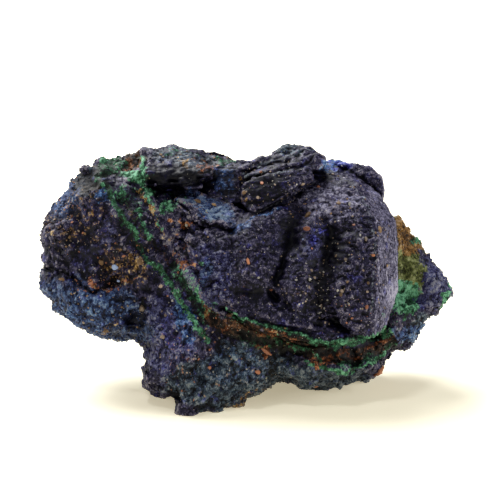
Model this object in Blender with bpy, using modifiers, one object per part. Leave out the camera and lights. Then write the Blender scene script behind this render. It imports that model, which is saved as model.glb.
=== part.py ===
"""Azurite specimen: a cluster of intergrown azurite crystals seated in a lump of azurite and malachite matrix.

Every shape is placed face on: x runs to the right, y runs away from the viewer and z runs up, in millimetres.
The finished specimen then leans back by LEAN onto its underside, and its origin moves to the middle of its base.
"""

import math

import bmesh
import bpy
from mathutils import Euler, Matrix, Vector

MM = 0.001
LEAN = math.radians(14.0)  # the face is turned up by this much when the specimen rests on its underside
FRONT_FOOT = Vector((-6.0, -9.0, 0.35))  # a point of the underside, at its front edge, before the lean

MATRIX_VOXEL = 0.95  # grain of the merged lumps
MATRIX_TRIANGLES = 4500  # what the matrix is thinned to before the crystals join it
SWELL_SCALE, SWELL_HEIGHT = 5.0, 1.5  # broad unevenness of the matrix
KNOB_SCALE, KNOB_HEIGHT = 2.6, 1.2  # knobs the size of a small druse crystal
CRYSTAL_BEVEL = 0.22  # worn edges of the large crystals
SEAM_GAP = 0.3  # between the cluster and the matrix, along the seam

# Rounded masses of the matrix: centre, radii, squareness (1 is an ellipsoid), turn in the face's plane in degrees.
MATRIX_LUMPS = {
    "left_lobe_top": ((-16.3, 2.0, 22.6), (9.3, 8.5, 9.1), 0.96, 0),
    "left_lobe_shoulder": ((-12.4, 3.0, 29.4), (7.6, 6.0, 4.3), 0.9, 8),
    "left_lobe_foot": ((-17.8, 1.0, 14.8), (7.8, 7.5, 5.0), 0.95, -24),
    "left_lobe_spur": ((-24.4, 0.5, 17.2), (1.9, 2.6, 2.4), 1.0, 0),
    "left_neck": ((-10.5, 1.0, 17.0), (6.5, 8.0, 8.0), 0.9, 0),
    "body_left": ((-7.0, -1.5, 8.3), (5.9, 8.2, 7.4), 0.9, 0),
    "body_middle": ((-1.0, 0.0, 9.6), (7.5, 9.0, 6.0), 0.85, 20),
    "body_right": ((8.0, 2.0, 8.0), (8.4, 9.0, 4.8), 0.85, -2),
    "toe_left": ((-11.3, -3.0, 4.8), (1.6, 4.0, 2.0), 0.9, 0),
    "toe_front": ((-6.2, -5.0, 2.6), (2.9, 5.0, 3.0), 0.85, 0),
    "toe_ridge": ((-1.2, -2.5, 4.2), (5.5, 6.0, 3.0), 0.85, 24),
    "seam_lip": ((9.0, -4.6, 6.4), (7.2, 3.6, 1.5), 0.9, -2),
    "right_foot": ((14.6, 3.0, 7.4), (3.9, 6.5, 3.5), 0.9, 25),
    "right_flank": ((19.5, 4.0, 10.8), (3.0, 6.0, 2.9), 0.9, 28),
    "right_arm": ((21.2, 4.5, 13.8), (3.9, 5.0, 2.3), 0.9, 30),
    "right_tip": ((23.4, 3.5, 16.0), (2.6, 3.6, 2.6), 0.9, 25),
    "right_bank": ((18.0, 5.0, 19.2), (4.2, 5.6, 5.4), 0.9, 12),
    "right_slope": ((20.9, 4.6, 18.5), (3.1, 4.6, 3.8), 0.9, 25),
    "core": ((2.0, 5.0, 17.0), (15.0, 8.5, 11.0), 0.85, 0),
    "back": ((0.0, 9.5, 18.5), (13.0, 5.5, 11.0), 0.8, 0),
    "top_left_bank": ((-6.0, 4.0, 29.9), (8.4, 6.0, 4.2), 0.85, -6),
    "top_right_bank": ((11.0, 6.0, 28.0), (7.0, 5.0, 3.8), 0.85, -10),
    "cluster_shoulder": ((-4.2, -3.0, 17.5), (4.6, 5.6, 5.0), 0.9, 0),
}

# Flat-faced crystals of the cluster: the corners of each, face on.
CRYSTALS = {
    "great_tablet": [
        (5.8, 2.5, 30.2), (9.4, 3.0, 30.7), (12.9, 3.0, 30.8), (15.1, 2.0, 29.6), (16.9, 1.0, 28.0),
        (18.3, -0.6, 26.0), (18.9, -3.2, 23.8), (19.1, -4.4, 16.0), (17.3, -5.4, 11.0), (13.6, -2.0, 29.6),
        (15.6, -5.4, 26.0), (16.4, -8.2, 21.6), (16.0, -9.0, 13.2), (16.0, -7.4, 10.0), (13.6, -8.2, 10.2),
        (8.0, -4.6, 26.9), (11.1, -7.6, 23.8), (11.0, -8.6, 21.4), (10.3, -9.9, 16.0), (10.8, -9.6, 13.4),
        (12.8, -8.6, 10.9), (8.9, 2.0, 14.5), (19.0, 2.0, 22.0), (18.4, 2.0, 12.0),
    ],
    "middle_tablet": [
        (6.1, -6.5, 25.0), (8.0, -6.8, 24.6), (10.5, -7.3, 23.9), (10.3, -8.0, 22.6), (9.9, -8.7, 20.6),
        (9.3, -9.6, 17.2), (8.9, -10.0, 13.8), (8.7, -9.6, 12.0), (7.0, -9.8, 12.5), (3.9, -9.6, 16.0),
        (4.3, -9.1, 17.6), (5.0, -8.1, 20.4), (5.7, -7.0, 23.8), (8.0, -8.7, 21.8), (6.6, -10.5, 16.2),
        (6.2, -1.0, 28.2), (9.8, -1.0, 28.2), (5.6, 0.0, 14.5), (8.8, 0.0, 13.2),
    ],
    "left_tablet": [
        (-1.4, -5.6, 24.0), (0.7, -5.0, 25.5), (4.9, -4.2, 26.7), (-1.9, -6.9, 22.9), (0.4, -6.9, 24.3),
        (4.7, -6.1, 25.6), (4.8, -6.6, 24.2), (4.4, -8.3, 20.0), (3.8, -9.0, 16.2), (1.3, -9.8, 16.3),
        (-1.1, -9.4, 17.3), (-2.3, -7.5, 20.8), (-1.9, -8.8, 18.2), (0.3, -8.6, 22.6), (0.2, -10.2, 18.0),
        (-1.3, 0.0, 24.0), (5.2, 0.0, 27.0), (4.4, 0.0, 15.8), (-1.3, 0.0, 15.8),
    ],
    "rib_slope": [
        (3.9, -4.4, 26.4), (5.0, -5.9, 25.3), (7.2, -6.3, 25.0), (10.6, -6.9, 24.4), (10.4, -2.6, 27.9),
        (5.2, -2.0, 27.6), (5.2, 0.0, 24.0), (10.4, 0.0, 24.0), (5.6, -6.2, 24.0), (9.8, -6.6, 23.4),
    ],
    "upper_terrace": [
        (7.4, -2.6, 28.3), (10.8, -2.0, 28.9), (13.2, -1.4, 29.4), (14.3, -1.9, 28.7), (13.4, -3.9, 27.7),
        (10.0, -4.1, 27.3), (7.0, -4.2, 27.0), (8.0, 1.0, 28.0), (13.0, 1.0, 28.0),
    ],
    "middle_terrace": [
        (6.4, -3.9, 27.2), (14.8, -3.6, 27.7), (15.3, -5.1, 26.3), (12.6, -5.9, 26.2), (9.6, -5.5, 26.1),
        (6.6, -5.6, 25.8), (7.0, 0.0, 26.0), (14.0, 0.0, 26.0),
    ],
    "skirt": [
        (-3.4, -7.6, 14.8), (-2.1, -9.2, 13.6), (1.3, -10.0, 11.3), (6.9, -10.2, 9.5), (12.5, -8.8, 9.3),
        (14.0, -6.6, 9.6), (12.5, -7.2, 12.0), (6.5, -8.0, 14.4), (-2.0, -6.6, 16.2), (-3.0, 1.0, 13.4),
        (12.5, 1.0, 10.0), (6.0, 1.0, 15.0),
    ],
    "skirt_step": [
        (0.8, -9.4, 14.6), (2.2, -10.4, 13.0), (6.4, -10.7, 11.4), (8.6, -10.2, 11.0), (7.6, -9.6, 12.6),
        (3.6, -9.2, 15.0), (2.0, 0.0, 14.0), (8.0, 0.0, 12.0), (1.2, -9.8, 12.6),
    ],
    "slanting_blade": [
        (-9.0, -4.2, 27.4), (-8.8, -3.4, 28.4), (-6.6, -3.0, 28.3), (-4.4, -3.0, 27.5), (-1.9, -3.6, 26.4),
        (1.2, -4.8, 24.8), (-8.2, -5.8, 26.0), (-5.6, -6.6, 24.4), (-4.2, -6.9, 23.4), (-1.2, -6.8, 23.3),
        (-7.5, 1.5, 28.0), (0.0, 1.5, 25.5), (-5.0, 0.5, 23.0),
    ],
    "back_ledge": [
        (-5.2, -1.8, 28.5), (-1.0, -2.2, 28.2), (0.2, -3.0, 26.9), (-1.6, -3.6, 26.6), (-4.6, -3.0, 27.5),
        (-5.0, 2.0, 27.0), (0.0, 2.0, 27.0),
    ],
    "top_left_blade": [
        (-12.4, -4.8, 29.0), (-12.6, -4.4, 30.5), (-12.2, -1.6, 32.4), (-11.4, 0.5, 33.5), (-8.6, 1.2, 33.8),
        (-4.6, 2.0, 33.1), (-3.4, 2.3, 32.4), (-4.0, -3.4, 30.9), (-4.2, -3.8, 30.0), (-7.5, -5.2, 29.1),
        (-11.0, 4.0, 28.6), (-3.6, 5.0, 29.0),
    ],
    "top_left_ledge": [
        (-8.0, -4.2, 29.3), (-5.6, -4.0, 29.2), (-5.2, -4.3, 28.5), (-7.6, -4.6, 28.4), (-8.0, 2.0, 28.6),
        (-5.4, 2.0, 28.6),
    ],
    "stack_front": [
        (-0.5, -4.4, 27.2), (-0.4, -4.3, 29.0), (0.9, -4.6, 29.8), (4.8, -4.2, 30.5), (8.2, -3.2, 31.3),
        (8.5, -4.1, 30.0), (6.2, -5.4, 28.6), (4.2, -6.0, 27.2), (1.4, -6.2, 25.5), (0.2, -5.6, 25.8),
        (0.0, 3.0, 26.5), (9.0, 3.0, 28.5),
    ],
    "stack_second": [
        (-0.2, -3.4, 30.0), (1.4, -3.0, 30.8), (4.1, -2.6, 31.6), (7.6, -1.9, 32.8), (8.4, -2.9, 31.9),
        (5.0, -3.7, 30.9), (0.9, -4.0, 30.1), (0.0, 4.0, 29.2), (8.4, 4.0, 30.4),
    ],
    "stack_third": [
        (-1.2, -1.8, 31.1), (0.4, -1.5, 31.9), (2.4, -1.2, 32.6), (5.0, -1.0, 33.1), (5.4, -2.0, 32.2),
        (3.0, -2.4, 31.5), (0.2, -2.6, 30.9), (-0.4, 5.0, 30.4), (5.0, 5.0, 31.4),
    ],
    "stack_fourth": [
        (4.2, -2.4, 31.4), (5.2, -1.9, 32.6), (7.9, -0.8, 34.1), (9.0, -0.8, 33.4), (9.8, -1.6, 31.6),
        (9.4, -3.2, 30.7), (6.0, -3.1, 31.2), (4.6, 4.0, 31.2), (9.8, 4.0, 31.2),
    ],
    "stack_ridge": [
        (3.0, 0.0, 32.3), (4.1, 1.0, 33.6), (5.2, 2.0, 34.4), (7.4, 2.0, 34.2), (8.8, 1.4, 33.5),
        (9.9, 1.0, 32.0), (3.0, 6.0, 31.0), (9.4, 6.0, 31.0),
    ],
    "stack_link": [
        (-4.3, -1.6, 31.4), (-1.0, -1.4, 32.2), (0.5, -1.4, 31.4), (0.4, -2.6, 28.0), (-3.9, -2.6, 28.4),
        (-3.5, 4.0, 28.0), (1.0, 4.0, 29.0),
    ],
    "back_blue_crystal": [
        (8.6, 1.0, 30.4), (9.4, 2.6, 32.4), (12.2, 3.2, 31.9), (13.2, 1.6, 30.4), (9.0, 8.0, 30.0),
        (13.0, 8.0, 29.0),
    ],
    "back_crystal": [
        (11.8, 4.0, 31.6), (14.0, 3.6, 31.9), (16.4, 3.4, 31.5), (17.6, 2.6, 30.2), (18.0, 2.4, 28.4),
        (17.2, 2.2, 26.9), (12.4, 9.0, 29.0), (17.4, 9.0, 27.0), (13.4, 1.6, 29.9),
    ],
    "shoulder_blade": [
        (-7.2, -6.4, 22.2), (-5.6, -6.6, 23.4), (-2.2, -6.8, 23.2), (-1.6, -8.2, 21.2), (-2.0, -9.0, 17.4),
        (-5.2, -8.9, 17.6), (-6.8, -7.9, 19.4), (-6.5, 0.0, 21.0), (-1.0, 0.0, 21.0), (-3.0, 0.0, 17.0),
    ],
    "shoulder_foot": [
        (-6.0, -7.4, 17.6), (-2.2, -8.6, 17.4), (-1.4, -9.2, 15.2), (-3.2, -8.6, 13.8), (-5.2, -7.8, 14.8),
        (-5.0, 0.0, 16.5), (-2.0, 0.0, 14.0),
    ],
}

# Flat-faced crystals that grow from the matrix, right of the cluster and along its edges.
MATRIX_CRYSTALS = {
    "tip_blade": [
        (21.0, 0.6, 18.6), (23.6, 1.2, 18.0), (25.6, 2.0, 15.4), (24.8, 1.0, 14.4), (22.2, -0.4, 15.0),
        (21.4, 5.0, 18.0), (25.0, 5.0, 16.0),
    ],
    "arm_blade": [
        (18.4, -1.6, 12.0), (19.6, -1.8, 13.6), (23.6, -0.2, 14.4), (23.8, 0.6, 12.8), (20.6, -1.2, 11.0),
        (20.0, 5.0, 13.0), (23.0, 5.0, 13.5),
    ],
    "flank_blade": [
        (18.2, -2.2, 10.6), (20.0, -1.8, 11.8), (22.3, 0.2, 11.6), (21.8, 0.4, 9.4), (19.2, -1.4, 8.2),
        (19.0, 5.0, 11.0),
    ],
    "foot_blade": [
        (8.0, -3.4, 4.2), (12.6, -3.0, 4.4), (16.2, -1.2, 5.6), (16.8, -1.4, 7.2), (9.0, -4.4, 6.2),
        (10.0, 4.0, 4.4), (16.0, 4.0, 7.0),
    ],
    "lobe_blade": [
        (-24.8, -2.6, 15.0), (-22.4, -4.8, 15.4), (-17.0, -6.4, 13.6), (-15.8, -6.2, 11.8), (-20.0, -4.6, 11.6),
        (-20.0, 2.0, 14.0),
    ],
}

# Tablets that stand out of the back and the ends: centre, half length, half width and half thickness,
# and turns about X, Y and Z in degrees.
BACK_TABLETS = [
    ((-14.0, 9.0, 24.0), (4.2, 2.6, 1.1), (70, 20, 15)),
    ((-7.0, 12.6, 22.5), (4.6, 3.0, 1.2), (100, -15, 40)),
    ((1.5, 14.2, 24.0), (4.4, 3.2, 1.3), (75, 30, -20)),
    ((8.5, 12.8, 20.5), (4.0, 2.8, 1.2), (110, 10, 25)),
    ((-3.0, 14.4, 15.5), (4.8, 2.8, 1.1), (60, -25, 5)),
    ((12.0, 10.5, 14.0), (4.0, 2.6, 1.2), (85, 35, -30)),
    ((-15.0, 8.6, 15.5), (3.8, 2.6, 1.0), (115, 5, -15)),
    ((4.5, 12.6, 9.5), (4.2, 2.4, 1.0), (50, 15, 20)),
    ((-23.6, 4.6, 22.0), (2.6, 1.8, 0.8), (40, 60, 10)),
    ((20.8, 9.0, 17.0), (3.0, 2.0, 0.9), (80, -30, 35)),
]

# Pits between the crystals: centre, radii, turn in the face's plane in degrees.
PITS = {
    "under_top_blade": ((-8.6, -5.0, 27.9), (3.6, 3.2, 0.8), -4),
    "cave_below_ribs": ((3.3, -10.2, 14.9), (1.0, 2.0, 0.8), -20),
    "shadow_hollow": ((0.0, -10.6, 15.8), (1.6, 1.5, 0.7), -15),
    "left_notch": ((-13.6, -7.4, 12.0), (1.1, 2.4, 2.2), 14),
    "lobe_hollow": ((-19.0, -8.2, 21.5), (2.6, 1.5, 3.4), 8),
}

# Corners of the bowl that holds the cluster. Its wall is the seam between the cluster and the matrix.
BOWL = [
    (-13.0, -16.0, 29.6), (-9.4, -16.0, 23.0), (-7.6, -16.0, 18.4), (-5.6, -16.0, 14.0), (-2.1, -16.0, 12.2),
    (6.9, -16.0, 8.9), (14.0, -16.0, 9.0), (17.9, -16.0, 10.4), (19.5, -16.0, 14.0), (19.5, -16.0, 24.0),
    (19.2, 1.0, 10.6), (19.2, 2.5, 26.0), (7.0, 0.0, 8.9), (-3.0, 0.0, 13.0), (-13.0, 2.0, 29.2),
    (-13.2, 4.0, 38.0), (19.0, 9.0, 38.0), (19.5, -16.0, 38.0), (-13.2, -16.0, 38.0), (12.0, 9.0, 27.5),
    (-2.0, 6.0, 28.0),
]


def place(point):
    return Vector(point) * MM


def new_object(name, bm, collection):
    """Recalculates the shape's normals and makes it an object."""
    bmesh.ops.recalc_face_normals(bm, faces=bm.faces)
    mesh = bpy.data.meshes.new(name)
    bm.to_mesh(mesh)
    bm.free()
    obj = bpy.data.objects.new(name, mesh)
    collection.objects.link(obj)
    return obj


def add_lump(bm, centre, radii, squareness, turn, subdivisions=4):
    """A rounded mass: a sphere whose coordinates are raised to a power, which squares its shoulders."""
    made = bmesh.ops.create_icosphere(bm, subdivisions=subdivisions, radius=1.0)["verts"]
    for vert in made:
        vert.co = Vector([math.copysign(abs(c) ** squareness, c) for c in vert.co])
    size = Matrix.Diagonal([r * MM for r in radii]).to_4x4()
    turned = Matrix.Rotation(math.radians(-turn), 4, "Y")
    bmesh.ops.transform(bm, matrix=Matrix.Translation(place(centre)) @ turned @ size, verts=made)


def hull_object(name, corners, collection, bevel=0.0):
    """A flat-faced solid: the convex hull of its corners, with worn edges."""
    bm = bmesh.new()
    for corner in corners:
        bm.verts.new(place(corner))
    hull = bmesh.ops.convex_hull(bm, input=bm.verts)
    loose = {v for v in hull["geom_interior"] + hull["geom_unused"] if isinstance(v, bmesh.types.BMVert)}
    bmesh.ops.delete(bm, geom=list(loose), context="VERTS")
    bmesh.ops.dissolve_limit(bm, angle_limit=math.radians(4), verts=bm.verts, edges=bm.edges)
    if bevel:
        sharp = [e for e in bm.edges if e.calc_face_angle(0) > math.radians(12)]
        bmesh.ops.bevel(
            bm, geom=sharp, offset=bevel * MM, segments=1, profile=0.5, affect="EDGES", material=-1,
            clamp_overlap=True,
        )
    return new_object(name, bm, collection)


def tablet(name, centre, half_sizes, turns, collection):
    """A flat crystal with six sides and a bevelled rim, standing out of the matrix."""
    turned = Euler([math.radians(turn) for turn in turns]).to_matrix()
    corners = []
    for side, thickness in ((1.0, 0.35), (0.86, 1.0)):
        for around in range(6):
            angle = math.radians(60 * around + 12)
            for face in (-1, 1):
                corner = Vector((math.cos(angle) * side, math.sin(angle) * side, face * thickness))
                corners.append(Vector(centre) + turned @ (corner * Vector(half_sizes)))
    return hull_object(name, corners, collection)


def bowl(gap, collection):
    """The bowl's outer form, grown by gap all round, or shrunk if gap is below zero."""
    obj = hull_object("bowl", BOWL, collection)
    bm = bmesh.new()
    bm.from_mesh(obj.data)
    bm.normal_update()
    for vert in bm.verts:
        vert.co += vert.normal * vert.calc_shell_factor() * gap * MM
    bm.to_mesh(obj.data)
    bm.free()
    return obj


def voronoi_texture(name, scale):
    texture = bpy.data.textures.new(name, "VORONOI")
    texture.noise_scale = scale * MM
    texture.distance_metric = "DISTANCE"
    return texture


def cloud_texture(name, scale):
    texture = bpy.data.textures.new(name, "CLOUDS")
    texture.noise_scale = scale * MM
    texture.noise_depth = 1
    return texture


def displace(obj, texture, height, mid_level):
    modifier = obj.modifiers.new(texture.name, "DISPLACE")
    modifier.texture = texture
    modifier.texture_coords = "LOCAL"
    modifier.strength = height * MM
    modifier.mid_level = mid_level


def baked(obj, name, collection):
    """The object with its modifiers applied, under a new name. The object itself is removed."""
    graph = bpy.context.evaluated_depsgraph_get()
    graph.update()
    mesh = bpy.data.meshes.new_from_object(obj.evaluated_get(graph))
    made = bpy.data.objects.new(name, mesh)
    made.matrix_world = obj.matrix_world
    collection.objects.link(made)
    bpy.data.objects.remove(obj)
    return made


def matrix_mass(collection):
    """The lumps merged into one rough body."""
    bm = bmesh.new()
    for centre, radii, squareness, turn in MATRIX_LUMPS.values():
        add_lump(bm, centre, radii, squareness, turn)
    body = new_object("lumps", bm, collection)
    remesh = body.modifiers.new("merge", "REMESH")
    remesh.mode = "VOXEL"
    remesh.voxel_size = MATRIX_VOXEL * MM
    smooth = body.modifiers.new("soften", "SMOOTH")
    smooth.iterations = 3
    displace(body, cloud_texture("swells", SWELL_SCALE), SWELL_HEIGHT, 0.5)
    displace(body, voronoi_texture("knobs", KNOB_SCALE), -KNOB_HEIGHT, 0.45)
    triangulate = body.modifiers.new("triangles", "TRIANGULATE")
    triangulate.min_vertices = 4
    body = baked(body, "mass", collection)
    thin = body.modifiers.new("thin", "DECIMATE")
    thin.ratio = min(1.0, MATRIX_TRIANGLES / len(body.data.polygons))
    return baked(body, "mass", collection)


def join(body, other, operation):
    modifier = body.modifiers.new(other.name, "BOOLEAN")
    modifier.operation = operation
    modifier.object = other
    modifier.solver = "EXACT"


def rest_on_underside(obj):
    """Cuts the underside flat where it meets the surface that the specimen rests on."""
    up = Vector((0.0, -math.sin(LEAN), math.cos(LEAN)))
    bm = bmesh.new()
    bm.from_mesh(obj.data)
    cut = bmesh.ops.bisect_plane(
        bm, geom=bm.verts[:] + bm.edges[:] + bm.faces[:], dist=1e-7, plane_co=place(FRONT_FOOT), plane_no=up,
        clear_inner=True,
    )
    rim = [e for e in cut["geom_cut"] if isinstance(e, bmesh.types.BMEdge)]
    bmesh.ops.holes_fill(bm, edges=rim)
    bmesh.ops.triangulate(bm, faces=[f for f in bm.faces if len(f.verts) > 4])
    bm.to_mesh(obj.data)
    bm.free()


def largest_piece(obj):
    """Drops the crumbs that a cut leaves loose."""
    bm = bmesh.new()
    bm.from_mesh(obj.data)
    bmesh.ops.remove_doubles(bm, verts=bm.verts, dist=0.004 * MM)
    waiting = set(bm.verts)
    pieces = []
    while waiting:
        front = [waiting.pop()]
        piece = list(front)
        while front:
            for edge in front.pop().link_edges:
                for vert in edge.verts:
                    if vert in waiting:
                        waiting.discard(vert)
                        front.append(vert)
                        piece.append(vert)
        pieces.append(piece)
    pieces.sort(key=len)
    crumbs = [vert for piece in pieces[:-1] for vert in piece]
    bmesh.ops.delete(bm, geom=crumbs, context="VERTS")
    bm.to_mesh(obj.data)
    bm.free()


def material(name, colour, roughness):
    made = bpy.data.materials.new(name)
    made.use_nodes = True
    shader = made.node_tree.nodes["Principled BSDF"]
    shader.inputs["Base Color"].default_value = (*colour, 1.0)
    shader.inputs["Roughness"].default_value = roughness
    shader.inputs["Metallic"].default_value = 0.0
    return made


def main():
    for obj in list(bpy.data.objects):
        bpy.data.objects.remove(obj)
    parts = bpy.data.collections.new("azurite_specimen")
    helpers = bpy.data.collections.new("helpers")
    bpy.context.scene.collection.children.link(parts)
    bpy.context.scene.collection.children.link(helpers)

    body = matrix_mass(helpers)
    for name, corners in (MATRIX_CRYSTALS | CRYSTALS).items():
        join(body, hull_object(name, corners, helpers, CRYSTAL_BEVEL), "UNION")
    for number, (centre, half_sizes, turns) in enumerate(BACK_TABLETS):
        join(body, tablet(f"back_tablet_{number}", centre, half_sizes, turns, helpers), "UNION")
    for name, (centre, radii, turn) in PITS.items():
        bm = bmesh.new()
        add_lump(bm, centre, radii, 1.0, turn, subdivisions=2)
        join(body, new_object(name, bm, helpers), "DIFFERENCE")
    whole = baked(body, "whole", helpers)
    rest_on_underside(whole)
    largest_piece(whole)

    nodes = []
    for name, operation, gap, colour in (
        ("matrix", "DIFFERENCE", SEAM_GAP / 2, (0.03, 0.05, 0.09)),
        ("crystal_cluster", "INTERSECT", -SEAM_GAP / 2, (0.02, 0.025, 0.07)),
    ):
        piece = bpy.data.objects.new(name + "_uncut", whole.data.copy())
        helpers.objects.link(piece)
        join(piece, bowl(gap, helpers), operation)
        node = baked(piece, name, parts)
        largest_piece(node)
        node.data.materials.clear()
        node.data.materials.append(material(name, colour, 0.5))
        node.data.transform(Matrix.Rotation(-LEAN, 4, "X"))
        nodes.append(node)

    for obj in helpers.objects:
        obj.hide_render = True
        obj.display_type = "WIRE"
    corners = [vert.co for node in nodes for vert in node.data.vertices]
    low = Vector([min(c[i] for c in corners) for i in range(3)])
    high = Vector([max(c[i] for c in corners) for i in range(3)])
    base = Vector(((low.x + high.x) / 2, (low.y + high.y) / 2, low.z))
    for node in nodes:
        node.data.transform(Matrix.Translation(-base))
    print("size in mm:", [round(side / MM, 2) for side in high - low])


main()
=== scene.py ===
import math
import random

import bmesh
import bpy
import numpy as np
from mathutils import Matrix, Vector, noise
from mathutils.bvhtree import BVHTree


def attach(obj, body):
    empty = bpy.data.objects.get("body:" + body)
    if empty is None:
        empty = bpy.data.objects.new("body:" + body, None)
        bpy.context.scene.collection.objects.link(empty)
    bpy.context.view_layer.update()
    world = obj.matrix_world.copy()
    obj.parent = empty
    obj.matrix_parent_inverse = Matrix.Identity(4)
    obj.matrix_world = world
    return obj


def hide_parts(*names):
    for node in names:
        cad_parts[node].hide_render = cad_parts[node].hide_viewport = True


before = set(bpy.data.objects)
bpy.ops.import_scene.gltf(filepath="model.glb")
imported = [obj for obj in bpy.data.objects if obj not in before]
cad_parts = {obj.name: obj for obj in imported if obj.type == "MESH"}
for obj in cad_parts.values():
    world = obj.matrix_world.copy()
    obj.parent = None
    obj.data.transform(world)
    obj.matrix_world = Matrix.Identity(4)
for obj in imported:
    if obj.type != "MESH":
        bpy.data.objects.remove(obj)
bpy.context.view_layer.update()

mm = 0.001
noise.seed_set(1)        # noise_vector starts from the clock without this

# Places are given face on, in millimetres: x to the right, y away from the viewer, z up.
# A mark's place is where it is seen from the eye, laid out on the plane y = markPlane.
stance = {
    "lean": math.radians(14.0),              # the face is turned up by this much
    "faceOrigin": (0.105, -6.517, -2.517),   # where x = y = z = 0 comes to, once it rests
    "markPlane": -4.0,
    "eye": (0.625, -264.0, 20.75),
}
faceToWorld = (
    Matrix.Translation(Vector(stance["faceOrigin"]) * mm)
    @ Matrix.Rotation(-stance["lean"], 4, "X")
    @ Matrix.Diagonal((mm, mm, mm, 1.0))
)
worldToFace = np.array(faceToWorld.inverted())
turnToFace = np.array(Matrix.Rotation(stance["lean"], 3, "X"))


# ---- arrays ----
def smoothStep(values, low, high):
    t = np.clip((values - low) / (high - low), 0.0, 1.0)
    return t * t * (3 - 2 * t)


def vertexArray(mesh, what="co"):
    data = np.empty(len(mesh.vertices) * 3, dtype=np.float32)
    source, field = (mesh.vertices, "co") if what == "co" else (mesh.vertex_normals, "vector")
    source.foreach_get(field, data)
    return data.reshape(-1, 3).astype(float)


def toFace(points):
    return points @ worldToFace[:3, :3].T + worldToFace[:3, 3]


def asMarks(points):
    # where each point is seen, on the plane of the marks
    eye = stance["eye"]
    grow = (stance["markPlane"] - eye[1]) / (points[:, 1] - eye[1])
    return np.stack((eye[0] + (points[:, 0] - eye[0]) * grow, eye[2] + (points[:, 2] - eye[2]) * grow), axis=1)


def noiseAt(points, size, seed=0.0):
    shift = Vector((seed, seed * 1.7, -seed))
    return np.array([noise.noise(Vector(p) / size + shift) for p in points.tolist()])


def cellsAt(points, size, seed=0.0, warp=0.35):
    # uneven cells: the distance to the nearest centre, in cells, and a random number of each cell
    shift = Vector((seed, seed * 1.7, -seed))
    near, chance = [], []
    for p in points.tolist():
        place = Vector(p) / size + shift
        place += warp * noise.noise_vector(place * 1.3)
        distances, centres = noise.voronoi(place)
        near.append(distances[0])
        chance.append(math.sin(centres[0].dot(Vector((12.99, 78.23, 37.72)))) * 43758.5 % 1.0)
    return np.array(near), np.array(chance)


def distanceToPath(marks, path):
    nearest = np.full(len(marks), 1e9)
    for a, b in zip(path, path[1:]):
        a, b = np.array(a), np.array(b)
        along = np.clip(((marks - a) @ (b - a)) / ((b - a) @ (b - a)), 0.0, 1.0)
        nearest = np.minimum(nearest, np.linalg.norm(marks - a - along[:, None] * (b - a), axis=1))
    return nearest


def ellipse(marks, x, z, wide, high, turn=0):
    # how far out each mark lies in a turned ellipse: 1 on its edge
    c, s = math.cos(math.radians(turn)), math.sin(math.radians(turn))
    across, up = marks[:, 0] - x, marks[:, 1] - z
    return np.hypot((across * c + up * s) / wide, (up * c - across * s) / high)


def patchAt(points, *place):
    return 1 - smoothStep(ellipse(asMarks(points), *place), 0.7, 1.15)


def summed(points, places, inner, outer):
    # the sum of soft patches, each with its own amount
    marks = asMarks(points)
    return sum(amount * (1 - smoothStep(ellipse(marks, *place), inner, outer)) for *place, amount in places.values())


def shifts(points, size, seeds, far):
    # uneven shifts of the marks
    return far * np.stack([noiseAt(points, size, seed) for seed in seeds], axis=1)


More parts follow.
